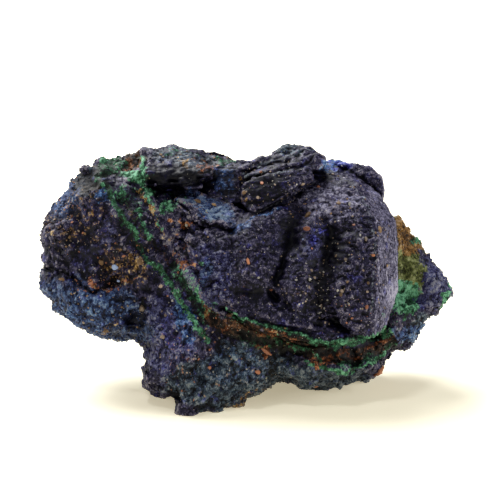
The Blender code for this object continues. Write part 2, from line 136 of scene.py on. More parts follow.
# ---- where the minerals are ----
# Veins by mineral: half width, strength, path of marks.
veins = {
    "malachite": {
        "seamUnderCrystals": (0.2, 1, [
            (-2.3, 13.4), (-0.8, 12.3), (1.1, 11.7), (3.3, 11.2), (5.7, 10.5), (8.1, 9.6), (10, 9.1), (12.2, 9.3),
            (14, 9.8), (16.9, 10.3), (17.6, 11.2)]),
        "seamUnderGreatCrystal": (0.34, 0.9, [(10.5, 8.9), (12.6, 9), (14.6, 9.4), (17, 10), (18.4, 10.4)]),
        "lowerSeam": (0.24, 1.1, [(7.5, 7), (9.8, 6), (11.9, 5.5), (13.4, 5.7), (16, 6.7), (17.6, 8), (18.9, 8.6)]),
        "lowerSeamCrust": (0.6, 0.6, [(12.2, 6.5), (14, 6.9), (16, 7.4)]),
        "underBand": (0.35, 0.6, [(4, 9.2), (6.5, 8.6), (8.6, 8), (9.6, 7)]),
        "outerLeftSeamTop": (0.3, 1, [
            (-17.7, 32.1), (-18.4, 29.6), (-17.1, 28.3), (-16.4, 26.4), (-15.1, 24.9), (-13.8, 22.8), (-13.3, 21.3)]),
        "outerLeftSeam": (0.3, 1, [
            (-12.5, 19.7), (-10.6, 18.4), (-9.3, 16.5), (-8.3, 14.8), (-7.3, 13.4), (-5.9, 11.3), (-4.9, 9.5)]),
        "outerLeftSeamGap": (0.24, 0.85, [(-13.3, 21.3), (-12.5, 19.7)]),
        "innerLeftSeam": (0.26, 0.7, [(-13.3, 25.9), (-12.7, 24.2), (-11.9, 22.3)]),
        "cornerSeam": (0.46, 1.5, [(-14.9, 30.3), (-13.6, 29.9), (-12.6, 29.6)]),
        "cornerThread": (0.12, 1.1, [(-12.7, 29.8), (-12.5, 31), (-12.7, 32.4)]),
        "cornerSeamLow": (0.36, 1.2, [(-13.9, 29.7), (-12.3, 28.6), (-11.9, 27.9)]),
        "threadGreen": (0.16, 0.7, [(-12.6, 28.2), (-11.3, 25.4), (-10.3, 23.4)]),
        "lowInnerSeam": (0.26, 0.6, [(-8.4, 18.3), (-7.6, 16.6), (-6.5, 14.6), (-5.2, 12.4), (-4.4, 11.2)]),
    },
    "ochre": {
        "thread": (0.12, 0.8, [(-13, 28.5), (-11.7, 25.6), (-10.6, 23.3), (-9.6, 21.8)]),
        "stackRimLeft": (0.1, 0.45, [(-0.4, 30), (-0.6, 28.5), (0, 26.5)]),
        "streakEdge": (0.1, 0.9, [(-5.8, 15), (-5.3, 13.8), (-4.7, 12.6)]),
    },
    "iron": {
        "band": (0.9, 0.95, [
            (-5, 12.8), (-3.4, 11.6), (-1.3, 10.5), (1.9, 9.6), (5.6, 8.7), (8.6, 8), (11.9, 7.6), (14.4, 7.8),
            (16.9, 8.6), (18.4, 9.3)]),
        "underSeam": (0.55, 1, [(-2, 12.2), (0.6, 11), (3.3, 10.4), (5.7, 9.7), (8.1, 8.9), (10.6, 8.4)]),
        "betweenLeftSeams": (0.45, 0.55, [
            (-15, 27.5), (-12.8, 22.6), (-10.4, 20.6), (-8.6, 18.4), (-7.4, 15.8), (-5.8, 13)]),
    },
    "azure": {
        "ribEdge": (0.12, 0.9, [(-1.6, 23.4), (0.3, 24.2), (2.1, 25), (4.4, 25.9)]),
    },
    "blue": {
        "ribSlope": (0.34, 0.7, [(-1.8, 23), (-0.6, 23.4), (0.6, 23.9)]),
    },
    "pale": {
        "stackRimUpper": (0.14, 0.6, [(-0.2, 30.3), (3.1, 31.7), (6.4, 32.5), (7.5, 33.4), (9, 33.3)]),
        "stackRimLower": (0.12, 0.6, [(0.2, 30.1), (4, 30.2), (6.9, 31), (8.2, 31.4)]),
        "slopeEdge": (0.14, 0.5, [(13.6, 28.8), (15.6, 25.9), (16.3, 21.5), (15.8, 13.2)]),
    },
    "rust": {
        "streak": (0.2, 1.3, [(-5.6, 15.1), (-5.1, 13.9), (-4.5, 12.5)]),
    },
}
# Patches by mineral: mark of the centre, radii, turn in degrees, strength.
patches = {
    "malachite": {
        "triangle": (-16.7, 31.4, 1.5, 1.8, 30, 0.75), "darkZone": (-15, 27.5, 1.9, 1.8, 0, 0.4),
        "spot": (-15, 28, 0.6, 0.5, 0, 0.95), "pocket": (-9.6, 26.4, 1.5, 1.2, 30, 0.75),
        "crustLow": (-6.2, 15, 0.7, 1.8, 25, 0.8), "crustMiddle": (-8.6, 18.6, 0.6, 1, 20, 0.6),
        "crustByRust": (-4.8, 14, 0.8, 1, 0, 0.5), "dot": (-6.2, 18.9, 0.5, 0.4, 0, 0.9),
        "brightGreenCorner": (-13.6, 29.9, 1.5, 0.7, -12, 1.4), "onBladeTop": (-6.5, 33.2, 1.8, 0.6, 0, 0.45),
        "bank": (19.8, 15.1, 2.5, 2.1, 0, 1), "bankFoot": (18, 12.9, 1.4, 0.5, 0, 0.6),
        "haze": (-13.8, 25.2, 1.5, 3.8, 20, 0.3), "hazeLow": (-7.2, 16.4, 1.1, 3.6, 32, 0.42),
        "underSeam": (2.2, 9.4, 3.8, 1.1, -8, 0.45), "onBrown": (20.1, 24.9, 0.7, 0.4, -30, 0.8),
        "onBrownLow": (21.7, 21.9, 1, 0.6, -20, 0.8), "tip": (25.4, 14.6, 0.8, 1.6, -20, 0.9),
        "onBlade": (-2.2, 32.6, 1.6, 0.5, -10, 0.6), "onBladeLeft": (-9.6, 32.8, 1.4, 0.5, 15, 0.5),
    },
    "rust": {
        "onBladeTop": (-5, 31.6, 1.7, 0.8, 0, 0.5), "inCavity": (-14, 31.7, 1.5, 1, 0, 0.4),
        "speckle": (-7.5, 18, 2.6, 6, 25, 0.26), "speckleLow": (-8, 8, 3.6, 4.6, 0, 0.22),
        "underHollow": (-18.2, 16.4, 2, 0.6, -10, 0.6), "byLightBlue": (-15, 16.8, 0.5, 0.4, 0, 0.8),
        "pocket": (-7.2, 24, 0.8, 0.5, -20, 0.8), "pocketLeft": (-9, 24, 0.6, 0.5, 0, 0.7),
        "low": (-7.4, 19, 1, 0.45, 0, 0.8), "onBlade": (-3.8, 31.9, 0.9, 0.4, 0, 0.7),
        "streakInBand": (2.6, 8.2, 1.4, 0.4, -45, 1.1), "inBandLeft": (-2.9, 11, 0.9, 0.4, -15, 0.8),
        "inBandMiddle": (2.7, 10.2, 1.5, 0.5, -10, 0.85), "inBandPastMiddle": (5.9, 9.1, 0.9, 0.4, -25, 0.8),
        "inBand": (9.8, 7.3, 1.2, 0.7, 0, 0.7), "inBandRight": (12.6, 7.9, 2, 0.4, 5, 0.85),
        "inBandEnd": (16.4, 8.9, 2, 0.5, 20, 0.9), "underCrust": (17, 5.7, 0.6, 0.35, 35, 1),
    },
    "olive": {
        "bank": (19.9, 17.6, 2.5, 4, 0, 1.4), "ochrePocket": (-9.8, 26.3, 1.9, 1.5, 30, 0.8),
    },
    "brown": {
        "bank": (20.8, 23.4, 3.8, 3.2, 0, 1.4), "earthUnderBody": (0.8, 1.8, 5.2, 1.2, 20, 0.42),
    },
    "ochre": {
        "earthOnBody": (0.5, 5.6, 5.6, 3.4, 0, 0.2), "onLobe": (-13.9, 19.3, 0.9, 1.1, 20, 0.85),
        "besideLobe": (-12.8, 18.2, 0.8, 1, 0, 0.5), "onLobeLeft": (-21.8, 22.5, 0.6, 0.9, 0, 0.5),
        "speckle": (-21, 25, 4.6, 5, 0, 0.31), "speckleLow": (-15.2, 18.4, 4, 3, 0, 0.38),
        "low": (-17.4, 10.8, 0.7, 0.5, 30, 0.5), "onBlade": (-7.6, 31.6, 0.9, 0.5, -10, 0.7),
    },
    "iron": {
        "cavity": (-14, 31.9, 1.9, 1.4, 0, 1.2), "underGreen": (-18.9, 28.8, 1.4, 0.8, 10, 0.8),
    },
}
# Where the azurite is bluer, more violet, greyer or paler. The lavender tone is partly grey dust on the crystals and
# partly a painted sheen on faces that catch the light; the vivid glints are painted highlights.
tones = {
    "violet": {
        "body": (-9.2, 10, 3.8, 6.4, 0, 1), "hollow": (-19.1, 22, 3.6, 4.8, 0, 0.7),
        "tip": (23.4, 16.6, 2.4, 3, 0, 1.1), "shoulder": (-4.4, 17.6, 3.4, 5, 0, 0.8),
        "onBlade": (-9.8, 31.4, 1.5, 0.9, -20, 1), "lump": (12.6, 31.3, 1.2, 0.8, 0, 0.8),
        "rib": (8.6, 21.4, 1.6, 3, -20, 0.7),
    },
    "vivid": {
        "body": (-8.2, 10.6, 3, 4.4, 20, 0.3), "ridge": (7.4, 31.7, 0.5, 0.4, 30, 0.6),
        "patch": (12, 31.2, 1.5, 0.5, -8, 0.75), "glint": (9.8, 23.7, 0.7, 0.35, 15, 1),
        "glintLow": (9, 22.4, 0.8, 0.8, 50, 0.6),
    },
    "azure": {
        "besideSeam": (-7.4, 11.8, 1.4, 3.8, 26, 0.8), "underTip": (20.6, 10.2, 2.4, 1.8, 0, 0.6),
        "body": (-1, 6.4, 5, 3, 0, 0.36), "lobeTop": (-18, 27.3, 1.3, 0.9, 0, 0.9),
        "lobeRim": (-23, 28.2, 3, 1.6, 45, 0.5), "lobeLow": (-19, 13.4, 6, 2.6, -12, 0.4),
        "link": (-2.4, 29.8, 1.6, 2, 0, 0.6), "patch": (11, 31.4, 1.5, 0.7, 0, 1.2),
    },
    "teal": {
        "toe": (-3.8, 3.9, 6.8, 3.4, 0, 1), "body": (0.6, 5.6, 6, 4.4, 0, 1), "foot": (10, 4.6, 7, 2.4, 0, 0.8),
        "lobeCrown": (-19.5, 29.5, 3.4, 1.6, 35, 0.7), "ridge": (5.3, 33.4, 2, 0.9, 10, 0.9),
        "tipRoot": (22.5, 11, 2.4, 2.4, 0, 0.8),
    },
    "blue": {
        "lobe": (-18, 12.8, 7.5, 3.9, -20, 1), "lobeRim": (-24.5, 15, 1.6, 3.4, 0, 0.7),
        "besideSeam": (-5.2, 17.8, 0.9, 2, 0, 0.7), "lobeLeft": (-22.6, 27.4, 2.6, 3, 30, 0.8),
        "lobeRight": (-15.4, 13.6, 2.4, 2.6, 0, 0.6), "onBlade": (-8, 32.4, 3.2, 1, 0, 0.8),
        "blade": (-4.7, 26, 4.3, 1.1, -28, 0.9),
    },
    "pale": {
        "blade": (-7, 32.2, 5.4, 1.6, -4, 0.65), "lobePatch": (-15.9, 16.6, 0.9, 0.6, 0, 0.6),
    },
    "lavender": {
        "greySlope": (9.8, 26.8, 5.4, 2.6, 0, 0.65),
    },
}
minerals = (*patches, *tones)
bankMinerals = ("brown", "olive")    # only on the matrix
# Mostly painted light and shade: places painted lighter where light falls, on lit tops and blade edges, and darker
# where shade lies, under overhangs, in hollows and on the shaded sides of the ribs. Mark of the centre, radii, how
# much.
paintedLightAndShade = {
    "lobe": (-18.6, 20.6, 8, 12, -0.05), "lobeHollow": (-19.1, 22, 3.4, 4.6, -0.1),
    "bladeFront": (-8.9, 29.9, 4.8, 1.8, -0.7), "bladeTop": (-6.5, 32.6, 6, 1.1, -0.02),
    "lobeCavity": (-14.4, 11.8, 1.2, 1.4, -0.3), "lobeCrown": (-19.4, 29.6, 3.8, 2.6, -0.22),
    "lobeLow": (-19, 12.4, 6.6, 3.6, -0.04), "stackFace": (-2.2, 29.6, 1.8, 2.2, -0.2),
    "stackFront": (2.6, 28.6, 3.4, 2.2, -0.4), "stackPlates": (4.6, 31.2, 4.4, 1.8, -0.1),
    "slantingBladeUpper": (-6.5, 27.1, 2.5, 1.4, 0.36), "slantingBladeLower": (-3.1, 25.2, 2.6, 1.4, 0.44),
    "aboveSlantingBlade": (-2.6, 27.7, 2.3, 1, -0.06), "skirt": (3.8, 12.6, 5.6, 2.2, -0.05),
    "ribs": (4.6, 19.4, 6.4, 5, -0.05), "ribShade": (5.2, 24, 1, 1.6, -0.25),
    "ribShadeRight": (10.8, 20.4, 1.7, 3, -0.32), "ribShadeLow": (9.5, 15.2, 1.3, 3.4, -0.26),
    "underLeftRib": (1.8, 15.3, 3, 1.1, -0.2), "topSlope": (9.8, 26.6, 5.8, 3, 0.2),
    "body": (-6.5, 10, 6.5, 9, 0.06), "foot": (0.5, 4.6, 9, 4.6, 0.06), "lowerRight": (10.5, 5, 7, 3, 0.06),
    "tip": (23.6, 16, 2.4, 4, 0.08), "backCrystal": (15.6, 29.2, 2.6, 2.6, 0.14),
    "greatEdge": (17.6, 18, 1.4, 8, 0.05), "bluePatch": (11, 31.4, 1.8, 0.9, 0.12),
    "greenCorner": (-13.8, 29.9, 2.6, 1.9, 0.32), "pocket": (-9, 24.8, 3.2, 4.2, 0.2),
    "band": (5, 9.4, 12, 1.6, -0.12), "greenBank": (20, 15.4, 2.8, 2.6, 0.5),
    "oliveBank": (20.6, 19.6, 2.8, 2.6, 0.12), "brownBank": (20.6, 23.6, 3.2, 2.6, -0.06),
}

# Seams and tones of the side away from the face.
backSide = {
    "turned": (0.15, 0.5),
    "behind": (-2.0, 2.0),
    "sideways": (-0.4, 0.0),
    "deep": (4.0, 8.0),
    "faceLeft": 0.15,       # what is left of the minerals of the face
    "seamSize": 7.0,
    "seamWidth": (0.015, 0.07),
    "besideSeam": 0.07,
    "toneSize": 6.5,
    "spotSize": 1.6,
}


def backShare(points, normals):
    # 1 where the surface is turned away from the viewer, or lies deep and faces sideways
    turned = smoothStep(normals[:, 1], *backSide["turned"]) * smoothStep(points[:, 1], *backSide["behind"])
    sideways = smoothStep(normals[:, 1], *backSide["sideways"]) * smoothStep(points[:, 1], *backSide["deep"])
    return np.maximum(turned, sideways)


def withBack(points, masks, back):
    # the back has seams and tones of its own in place of those of the face
    size = backSide
    for name in minerals:
        masks[name] *= 1 - (1 - size["faceLeft"]) * back
    seam = noiseAt(points, size["seamSize"], 12.0)
    tone = noiseAt(points, size["toneSize"], 15.0)
    otherTone = noiseAt(points, size["toneSize"], 19.0)
    spots = noiseAt(points, size["spotSize"], 23.0)
    own = {
        "malachite": 0.95 * (1 - smoothStep(np.abs(seam), *size["seamWidth"])),
        "iron": 0.7 * (1 - smoothStep(np.abs(seam + size["besideSeam"]), 0.02, 0.08)),
        "blue": 0.8 * smoothStep(tone, 0.08, 0.3),
        "violet": 0.8 * smoothStep(-tone, 0.02, 0.3),
        "teal": 0.8 * smoothStep(otherTone, 0.15, 0.35),
        "pale": 0.5 * smoothStep(-otherTone, 0.25, 0.5),
        "ochre": 0.55 * smoothStep(spots, 0.4, 0.6),
        "rust": 0.55 * smoothStep(-spots, 0.45, 0.6),
    }
    for name, values in own.items():
        masks[name] = np.maximum(masks[name], back * values)
    return masks


def mineralMasks(points, back):
    # how much of each mineral is at each point, from 0 to 1
    ragged = shifts(points, 1.3, (3.1, 7.7), 0.42) + shifts(points, 0.45, (1.1, 5.7), 0.25)
    marks = asMarks(points) + ragged
    masks = {name: np.zeros(len(points)) for name in minerals}
    for mineral, group in veins.items():
        for halfWidth, strength, path in group.values():
            reach = 1 - smoothStep(distanceToPath(marks, path), halfWidth * 0.5, halfWidth * 1.3 + 0.1)
            masks[mineral] = np.maximum(masks[mineral], strength * reach)
    marks = marks + shifts(points, 3.0, (4.4, 8.2), 0.9) + ragged
    for mineral, group in {**patches, **tones}.items():
        for *place, strength in group.values():
            reach = 1 - smoothStep(ellipse(marks, *place), 0.6, 1.25)
            masks[mineral] = np.maximum(masks[mineral], strength * reach)
    return withBack(points, masks, back)


# Furrows pressed into the surface: half width, depth, path of marks.
furrows = {
    "betweenRibs": (1.2, 1.5, [(6.9, 25.6), (6.3, 23.8), (5.5, 21.2)]),
    "betweenRibsLow": (0.65, 1, [(5.5, 21.2), (4.8, 19.2), (4.1, 17)]),
    "besideGreatCrystal": (1.6, 2, [(11, 23.2), (10.9, 21.2), (10.5, 19.2)]),
    "besideGreatCrystalLow": (1.3, 1.2, [(10.3, 19.2), (9.4, 16.4), (9, 13.8)]),
    "greatCrystalFoot": (0.4, 0.4, [(10.4, 13.2), (11.6, 11.8), (13, 11)]),
    "upperLedge": (0.2, 0.38, [(5.3, 25.9), (7.3, 26.1), (8.4, 26.8), (10.1, 26.9), (11.5, 26.6), (12.9, 26.4)]),
    "middleLedge": (0.16, 0.3, [(10.6, 25.1), (11.8, 24.9), (13, 25.3), (14.4, 25)]),
    "lowerLedge": (0.2, 0.35, [(7, 24.5), (8.9, 23.5), (10.6, 24), (12, 23.6), (14.3, 23.9), (15.6, 23.5)]),
    "crestOfGreatCrystal": (0.3, 0.7, [(11.4, 30.9), (13.3, 30.4), (14.7, 29.7), (16.1, 28.6), (17.1, 27.4)]),
    "underBlade": (0.75, 1.3, [(-11.9, 28.9), (-10.3, 28.6), (-8.8, 28.8)]),
    "underBladeRight": (0.6, 0.9, [(-7.2, 29.6), (-5.4, 29.2), (-4.2, 29.8)]),
    "bladeStep": (0.2, 0.5, [(-8.4, 29.6), (-6.4, 30.2), (-4.4, 30.6)]),
    "stackUpperGap": (0.18, 0.3, [(0.6, 30.9), (3.8, 31.8), (6.2, 32.1), (7.4, 32.9)]),
    "stackMiddleGap": (0.18, 0.4, [(5.3, 30.7), (7, 31.2), (8.6, 32.3)]),
    "stackFoot": (0.4, 0.6, [(0.6, 26.4), (2.6, 26.9), (5.4, 28)]),
    "underSlantingBlade": (0.3, 0.9, [
        (-9.2, 28.2), (-8.6, 26.8), (-6.4, 24.6), (-4.6, 23.5), (-3, 23.4), (-1.7, 23)]),
    "pocketLeft": (0.5, 0.9, [(-7.4, 23.2), (-6.8, 22.9)]),
    "cave": (0.42, 1.1, [(3.2, 15.3), (3.9, 14.7)]),
    "hollowUnderRib": (0.8, 0.6, [(-1, 15.9), (0.9, 15.5)]),
    "underMiddleRib": (0.5, 0.3, [(4.4, 15), (5.6, 13.4), (7.2, 12.4), (8.8, 12)]),
    "underGreatCrystal": (0.5, 0.8, [(11, 11.4), (12.6, 11)]),
    "lobeCavity": (0.8, 1.3, [(-14.8, 11.6), (-13.9, 12.2)]),
    "lobeCrease": (0.5, 1, [
        (-24.6, 18.4), (-22.4, 17.9), (-20.6, 16.6), (-19, 15.6), (-17.4, 16.2), (-15.8, 17.6)]),
    "lobeHollow": (2.2, 1.5, [(-20.6, 22.4), (-19.2, 20.2)]),
    "besideBody": (0.45, 0.8, [(-12.8, 14.6), (-12.9, 11.6)]),
    "topCavity": (0.45, 0.8, [(-13.6, 32.4), (-13.4, 31)]),
}


# Swellings: mark of the centre, radii, height; negative ones are worn away.
swellings = {
    "lobeCrown": (-18.9, 31.9, 3, 1.8, 0.6), "lobeLeft": (-25.4, 22.4, 2.6, 4.1, 0.45),
    "lobeUnderside": (-21, 9.8, 3, 1.8, 0.15), "underLobeRight": (-13.6, 8.9, 1.9, 1.5, -0.45),
    "footLeft": (-12.4, 3.8, 1.4, 1.6, 0.2), "footNotch": (-9.3, 1.8, 1.2, 1.5, -1.1),
    "bottomNotch": (5, 3.6, 1.8, 1.5, -0.65), "brownBankTop": (20.4, 25, 2.2, 2.2, 0.75),
    "bankEdge": (22.4, 21.8, 2, 2, 0.4), "tip": (24.8, 14.8, 2.6, 3.8, 0.42),
    "lowerRightNotch": (8, 2.6, 2.2, 1, -0.35), "lowerRightLump": (16.4, 4.6, 2.6, 1.8, 0.05),
    "rightUnderside": (18.4, 7.4, 2.2, 1.9, -0.4), "backRidge": (-2.8, 32.8, 4.6, 2, -1),
    "bladeTopLeft": (-7.4, 33.6, 2.4, 1.2, -0.55), "violetTipBlock": (23.2, 17.2, 1.6, 2.4, 0.35),
    "crownNotch": (-13.2, 33.6, 1.8, 1.4, 0.4), "bladeTopCorner": (-10.6, 33.8, 1.4, 1, -0.4),
    "lobeShoulder": (-20.9, 30.2, 2.2, 2, 0.05), "lobeSide": (-25.6, 19.4, 1.6, 1.4, 0.2),
    "lobeSideLow": (-24.6, 14.6, 1.6, 1.4, -0.35), "underFoot": (-5.2, 0.7, 1.4, 0.9, -0.2),
    "rightUnderTip": (22.5, 11.9, 1.6, 1.6, 0.35), "notchBelowFoot": (11.2, 3.2, 1.2, 0.9, -0.3),
    "footMiddle": (-1.9, 0.9, 1.4, 0.8, -0.25), "footRight": (1.6, 2.4, 1.2, 0.9, 0.25),
    "stackCorner": (1.4, 32.6, 1.3, 1.1, 0.3), "bladeCorner": (-8.7, 34, 1.2, 1, 0.25),
    "blueFacet": (10.9, 32, 2.8, 1.5, 0.75),
}


def furrowDepth(points):
    marks = asMarks(points) + shifts(points, 0.9, (2.1, 8.7), 0.3) + shifts(points, 2.4, (2.6, 8.1), 0.5)
    uneven = 1 + 0.5 * noiseAt(points, 1.6, 5.2)
    reaches = [
        deep * np.exp(-np.abs(distanceToPath(marks, path) / halfWidth / uneven) ** 1.6)
        for halfWidth, deep, path in furrows.values()
    ]
    return np.maximum.reduce(reaches)


def pressedIn(facePoints, faceNormals):
    # how far the furrows of the face press each point straight back from the viewer
    return furrowDepth(facePoints) * smoothStep(-faceNormals[:, 1] + 0.5 * faceNormals[:, 2], 0.0, 0.4)


def displaced(points, normals, height, pressed):
    return points + (normals * height[:, None] + pressed[:, None] * np.array((0.0, 1.0, 0.0)) @ turnToFace) * mm


# ---- meshes ----
def addObject(name, data):
    made = bpy.data.objects.new(name, data)
    bpy.context.scene.collection.objects.link(made)
    return made


def newPiece(name, mesh, finish, masks, node=None):
    for mask, values in masks.items():
        mesh.attributes.new(mask, "FLOAT", "POINT").data.foreach_set("value", values.astype(np.float32))
    mesh.materials.append(finish)
    piece = addObject(name, mesh)
    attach(piece, "root")
    if node:
        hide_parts(node)
    print(name, len(mesh.polygons), "faces")
    return piece


def remeshed(bm, name, voxel, softening):
    mesh = bpy.data.meshes.new(name)
    bm.to_mesh(mesh)
    bm.free()
    obj = addObject(name, mesh)
    merge = obj.modifiers.new("merge", "REMESH")
    merge.mode = "VOXEL"
    merge.voxel_size = voxel * mm
    merge.use_smooth_shade = True
    if softening:
        soften = obj.modifiers.new("soften", "SMOOTH")
        soften.iterations = softening
        soften.factor = 0.5
    graph = bpy.context.evaluated_depsgraph_get()
    graph.update()
    made = bpy.data.meshes.new_from_object(obj.evaluated_get(graph))
    bpy.data.objects.remove(obj)
    return made


def edgeArray(mesh):
    edges = np.empty(len(mesh.edges) * 2, dtype=np.int32)
    mesh.edges.foreach_get("vertices", edges)
    return edges.reshape(-1, 2)


def blurred(values, edges, passes):
    # each value moves halfway to the middle of its neighbours' values
    count = np.bincount(edges.ravel(), minlength=len(values))
    columns = values.reshape(len(values), -1).T
    for _ in range(passes):
        middles = [
            (np.bincount(edges[:, 0], column[edges[:, 1]], len(column))
             + np.bincount(edges[:, 1], column[edges[:, 0]], len(column))) / count
            for column in columns
        ]
        columns = [0.5 * column + 0.5 * middle for column, middle in zip(columns, middles)]
    return np.stack(columns, axis=1).reshape(values.shape)


def edgeSharpness(points, normals, edges, passes):
    # positive on outer edges, negative in creases, in millimetres
    return ((points - blurred(points, edges, passes)) * normals).sum(axis=1) / mm


def shelter(points, normals, trees, reach, rays, seed):
    # the share of the sky that is hidden within reach
    rng = np.random.default_rng(seed)
    spread = rng.normal(0.0, 1.0, (len(points), rays, 3))
    spread /= np.linalg.norm(spread, axis=2)[:, :, None]
    hidden = np.zeros(len(points))
    for i, (point, normal) in enumerate(zip(points.tolist(), normals.tolist())):
        start = Vector(point) + Vector(normal) * 0.12 * mm
        for ray in range(rays):
            way = Vector(spread[i, ray]) + Vector(normal) * 1.05
            if any(tree.ray_cast(start, way, reach * mm)[0] is not None for tree in trees):
                hidden[i] += 1.0 / rays
    return hidden


def searchTree(mesh):
    return BVHTree.FromPolygons([v.co for v in mesh.vertices], [p.vertices for p in mesh.polygons])


def nearness(points, tree, near, far):
    # 1 within near of the tree's surface, 0 beyond far
    found = [tree.find_nearest(Vector(point), far * mm)[3] for point in points.tolist()]
    distance = np.array([far * mm if item is None else item for item in found]) / mm
    return 1 - smoothStep(distance, near, far)


def surfaceSamples(mesh, count, rng):
    # random places on the surface: points, normals and a vertex beside each
    mesh.calc_loop_triangles()
    triangles = np.empty(len(mesh.loop_triangles) * 3, dtype=np.int32)
    mesh.loop_triangles.foreach_get("vertices", triangles)
    triangles = triangles.reshape(-1, 3)
    points = vertexArray(mesh)
    a, b, c = points[triangles[:, 0]], points[triangles[:, 1]], points[triangles[:, 2]]
    crosses = np.cross(b - a, c - a)
    areas = np.linalg.norm(crosses, axis=1)
    chosen = rng.choice(len(triangles), size=count, p=areas / areas.sum())
    u, v = rng.random(count), rng.random(count)
    over = u + v > 1
    u[over], v[over] = 1 - u[over], 1 - v[over]
    places = a[chosen] + (b - a)[chosen] * u[:, None] + (c - a)[chosen] * v[:, None]
    normals = crosses[chosen] / np.maximum(areas[chosen], 1e-12)[:, None]
    return places, normals, triangles[chosen, 0]


def meshArrays(bm):
    bmesh.ops.triangulate(bm, faces=bm.faces)
    verts = np.array([vert.co[:] for vert in bm.verts])
    faces = np.array([[vert.index for vert in face.verts] for face in bm.faces])
    bm.free()
    return verts, faces


def grainTemplate(kind, seed):
    # one crystal grain about 1 across, standing on its origin along +z
    dice = random.Random(seed)
    bm = bmesh.new()
    if kind == "blade":
        bmesh.ops.create_cube(bm, size=1.0)
        bmesh.ops.scale(bm, vec=(1.0, 0.45, 0.9), verts=bm.verts)
        for vert in bm.verts:
            if vert.co.z > 0:
                vert.co.x *= dice.uniform(0.25, 0.8)
                vert.co.y *= dice.uniform(0.2, 0.8)
                vert.co.z += dice.uniform(-0.25, 0.15)
    elif kind == "block":
        bmesh.ops.create_cube(bm, size=1.0)
        for vert in bm.verts:
            vert.co += Vector([dice.uniform(-0.2, 0.2) for _ in range(3)])
    else:
        bmesh.ops.create_icosphere(bm, subdivisions=1, radius=0.5)
        for vert in bm.verts:
            vert.co *= dice.uniform(0.75, 1.15)
    return meshArrays(bm)


def joinedGrains(name, templates, places, normals, sizes, rng, lift=0.1, tilt=0.5, along=()):
    # many small grains as one mesh: each is turned at random about its normal, and tilted,
    # but for the first ones, whose length lies along the ways given
    count = len(places)
    leaning = rng.normal(0.0, tilt, (count, 3))
    leaning[:len(along)] = 0
    axis = normals + leaning
    axis /= np.linalg.norm(axis, axis=1)[:, None]
    across = rng.normal(0.0, 1.0, (count, 3))
    across[:len(along)] = np.cross(axis[:len(along)], np.reshape(along, (-1, 3)))
    side = np.cross(across, axis)
    side /= np.linalg.norm(side, axis=1)[:, None]
    across = np.cross(axis, side)
    allVerts, allFaces, owners = [], [], []
    start = 0
    pick = rng.integers(0, len(templates), count)
    for kind, (verts, faces) in enumerate(templates):
        chosen = np.nonzero(pick == kind)[0]
        scaled = verts[None] * sizes[chosen][:, :, None].transpose(0, 2, 1)
        placed = (
            scaled[:, :, 0:1] * side[chosen][:, None]
            + scaled[:, :, 1:2] * across[chosen][:, None]
            + scaled[:, :, 2:3] * axis[chosen][:, None]
        )
        raised = places[chosen] + normals[chosen] * (sizes[chosen, 2] * lift)[:, None]
        placed += raised[:, None]
        allVerts.append(placed.reshape(-1, 3))
        starts = start + np.arange(len(chosen)) * len(verts)
        allFaces.append((faces[None] + starts[:, None, None]).reshape(-1, 3))
        owners.append(np.repeat(chosen, len(verts)))
        start += len(chosen) * len(verts)
    mesh = bpy.data.meshes.new(name)
    mesh.from_pydata(np.concatenate(allVerts), [], np.concatenate(allFaces))
    mesh.validate()
    return mesh, np.concatenate(owners)


# ---- finishes ----
class Wire:
    # a shader socket that takes part in Python expressions
    def __init__(self, tree, socket):
        self.tree = tree
        self.socket = socket

    def node(self, kind, settings=None, values=None, output=0):
        made = self.tree.nodes.new(kind)
        for key, value in (settings or {}).items():
            if key == "stops":
                ramp = made.color_ramp
                value = [(min(place, 1.0), colour) for place, colour in value]
                while len(ramp.elements) < len(value):
                    ramp.elements.new(0.5)
                for element, (place, colour) in zip(ramp.elements, value):
                    element.position = place
                    element.color = (*colour, 1.0)
            else:
                setattr(made, key, value)
        for key, value in (values or {}).items():
            if isinstance(value, Wire):
                self.tree.links.new(value.socket, made.inputs[key])
            else:
                made.inputs[key].default_value = value
        return Wire(self.tree, made.outputs[output])

    def maths(self, operation, first, second):
        return self.node("ShaderNodeMath", {"operation": operation}, {0: first, 1: second})

    def moved(self, distance):
        return self.node("ShaderNodeVectorMath", {"operation": "ADD"}, {0: self, 1: (distance,) * 3})

    def __add__(self, other):
        return self.maths("ADD", self, other)

    def __radd__(self, other):
        return self.maths("ADD", other, self)

    def __sub__(self, other):
        return self.maths("SUBTRACT", self, other)

    def __mul__(self, other):
        return self.maths("MULTIPLY", self, other)

    def step(self, low, high):
        # 0 below low, 1 above high
        return self.node("ShaderNodeMapRange", {"interpolation_type": "SMOOTHSTEP"}, {0: self, 1: low, 2: high})

    def over(self, below, colour):
        # colour laid over below where this is 1
        return self.node(
            "ShaderNodeMix", {"data_type": "RGBA"},
            {0: self, 6: below, 7: colour if isinstance(colour, Wire) else (*colour, 1.0)}, 2,
        )

    def mask(self, name):
        return self.node("ShaderNodeAttribute", {"attribute_name": name}, None, 2)

    def run(self, stops):
        return self.node("ShaderNodeValToRGB", {"stops": stops}, {0: self})

    def plug(self, shader, name):
        self.tree.links.new(self.socket, shader.inputs[name])

    def relief(self, shader, strength, height):
        bump = self.node("ShaderNodeBump", None, {"Strength": strength, "Distance": height * mm, "Height": self})
        bump.plug(shader, "Normal")


def newFinish(name):
    # a material, the wire that its nodes grow from, and its shader
    material = bpy.data.materials.new(name)
    material.use_nodes = True
    tree = material.node_tree
    place = Wire(tree, None).node("ShaderNodeTexCoord", output="Object")
    return material, place, tree.nodes["Principled BSDF"]


def inMillimetres(place):
    return place.node("ShaderNodeVectorMath", {"operation": "SCALE"}, {0: place, "Scale": 1.0 / mm})


def noiseWire(place, size, detail=3.0, roughness=0.6, distortion=0.0):
    return place.node(
        "ShaderNodeTexNoise", None,
        {"Vector": place, "Scale": 1.0 / size, "Detail": detail, "Roughness": roughness, "Distortion": distortion},
    )


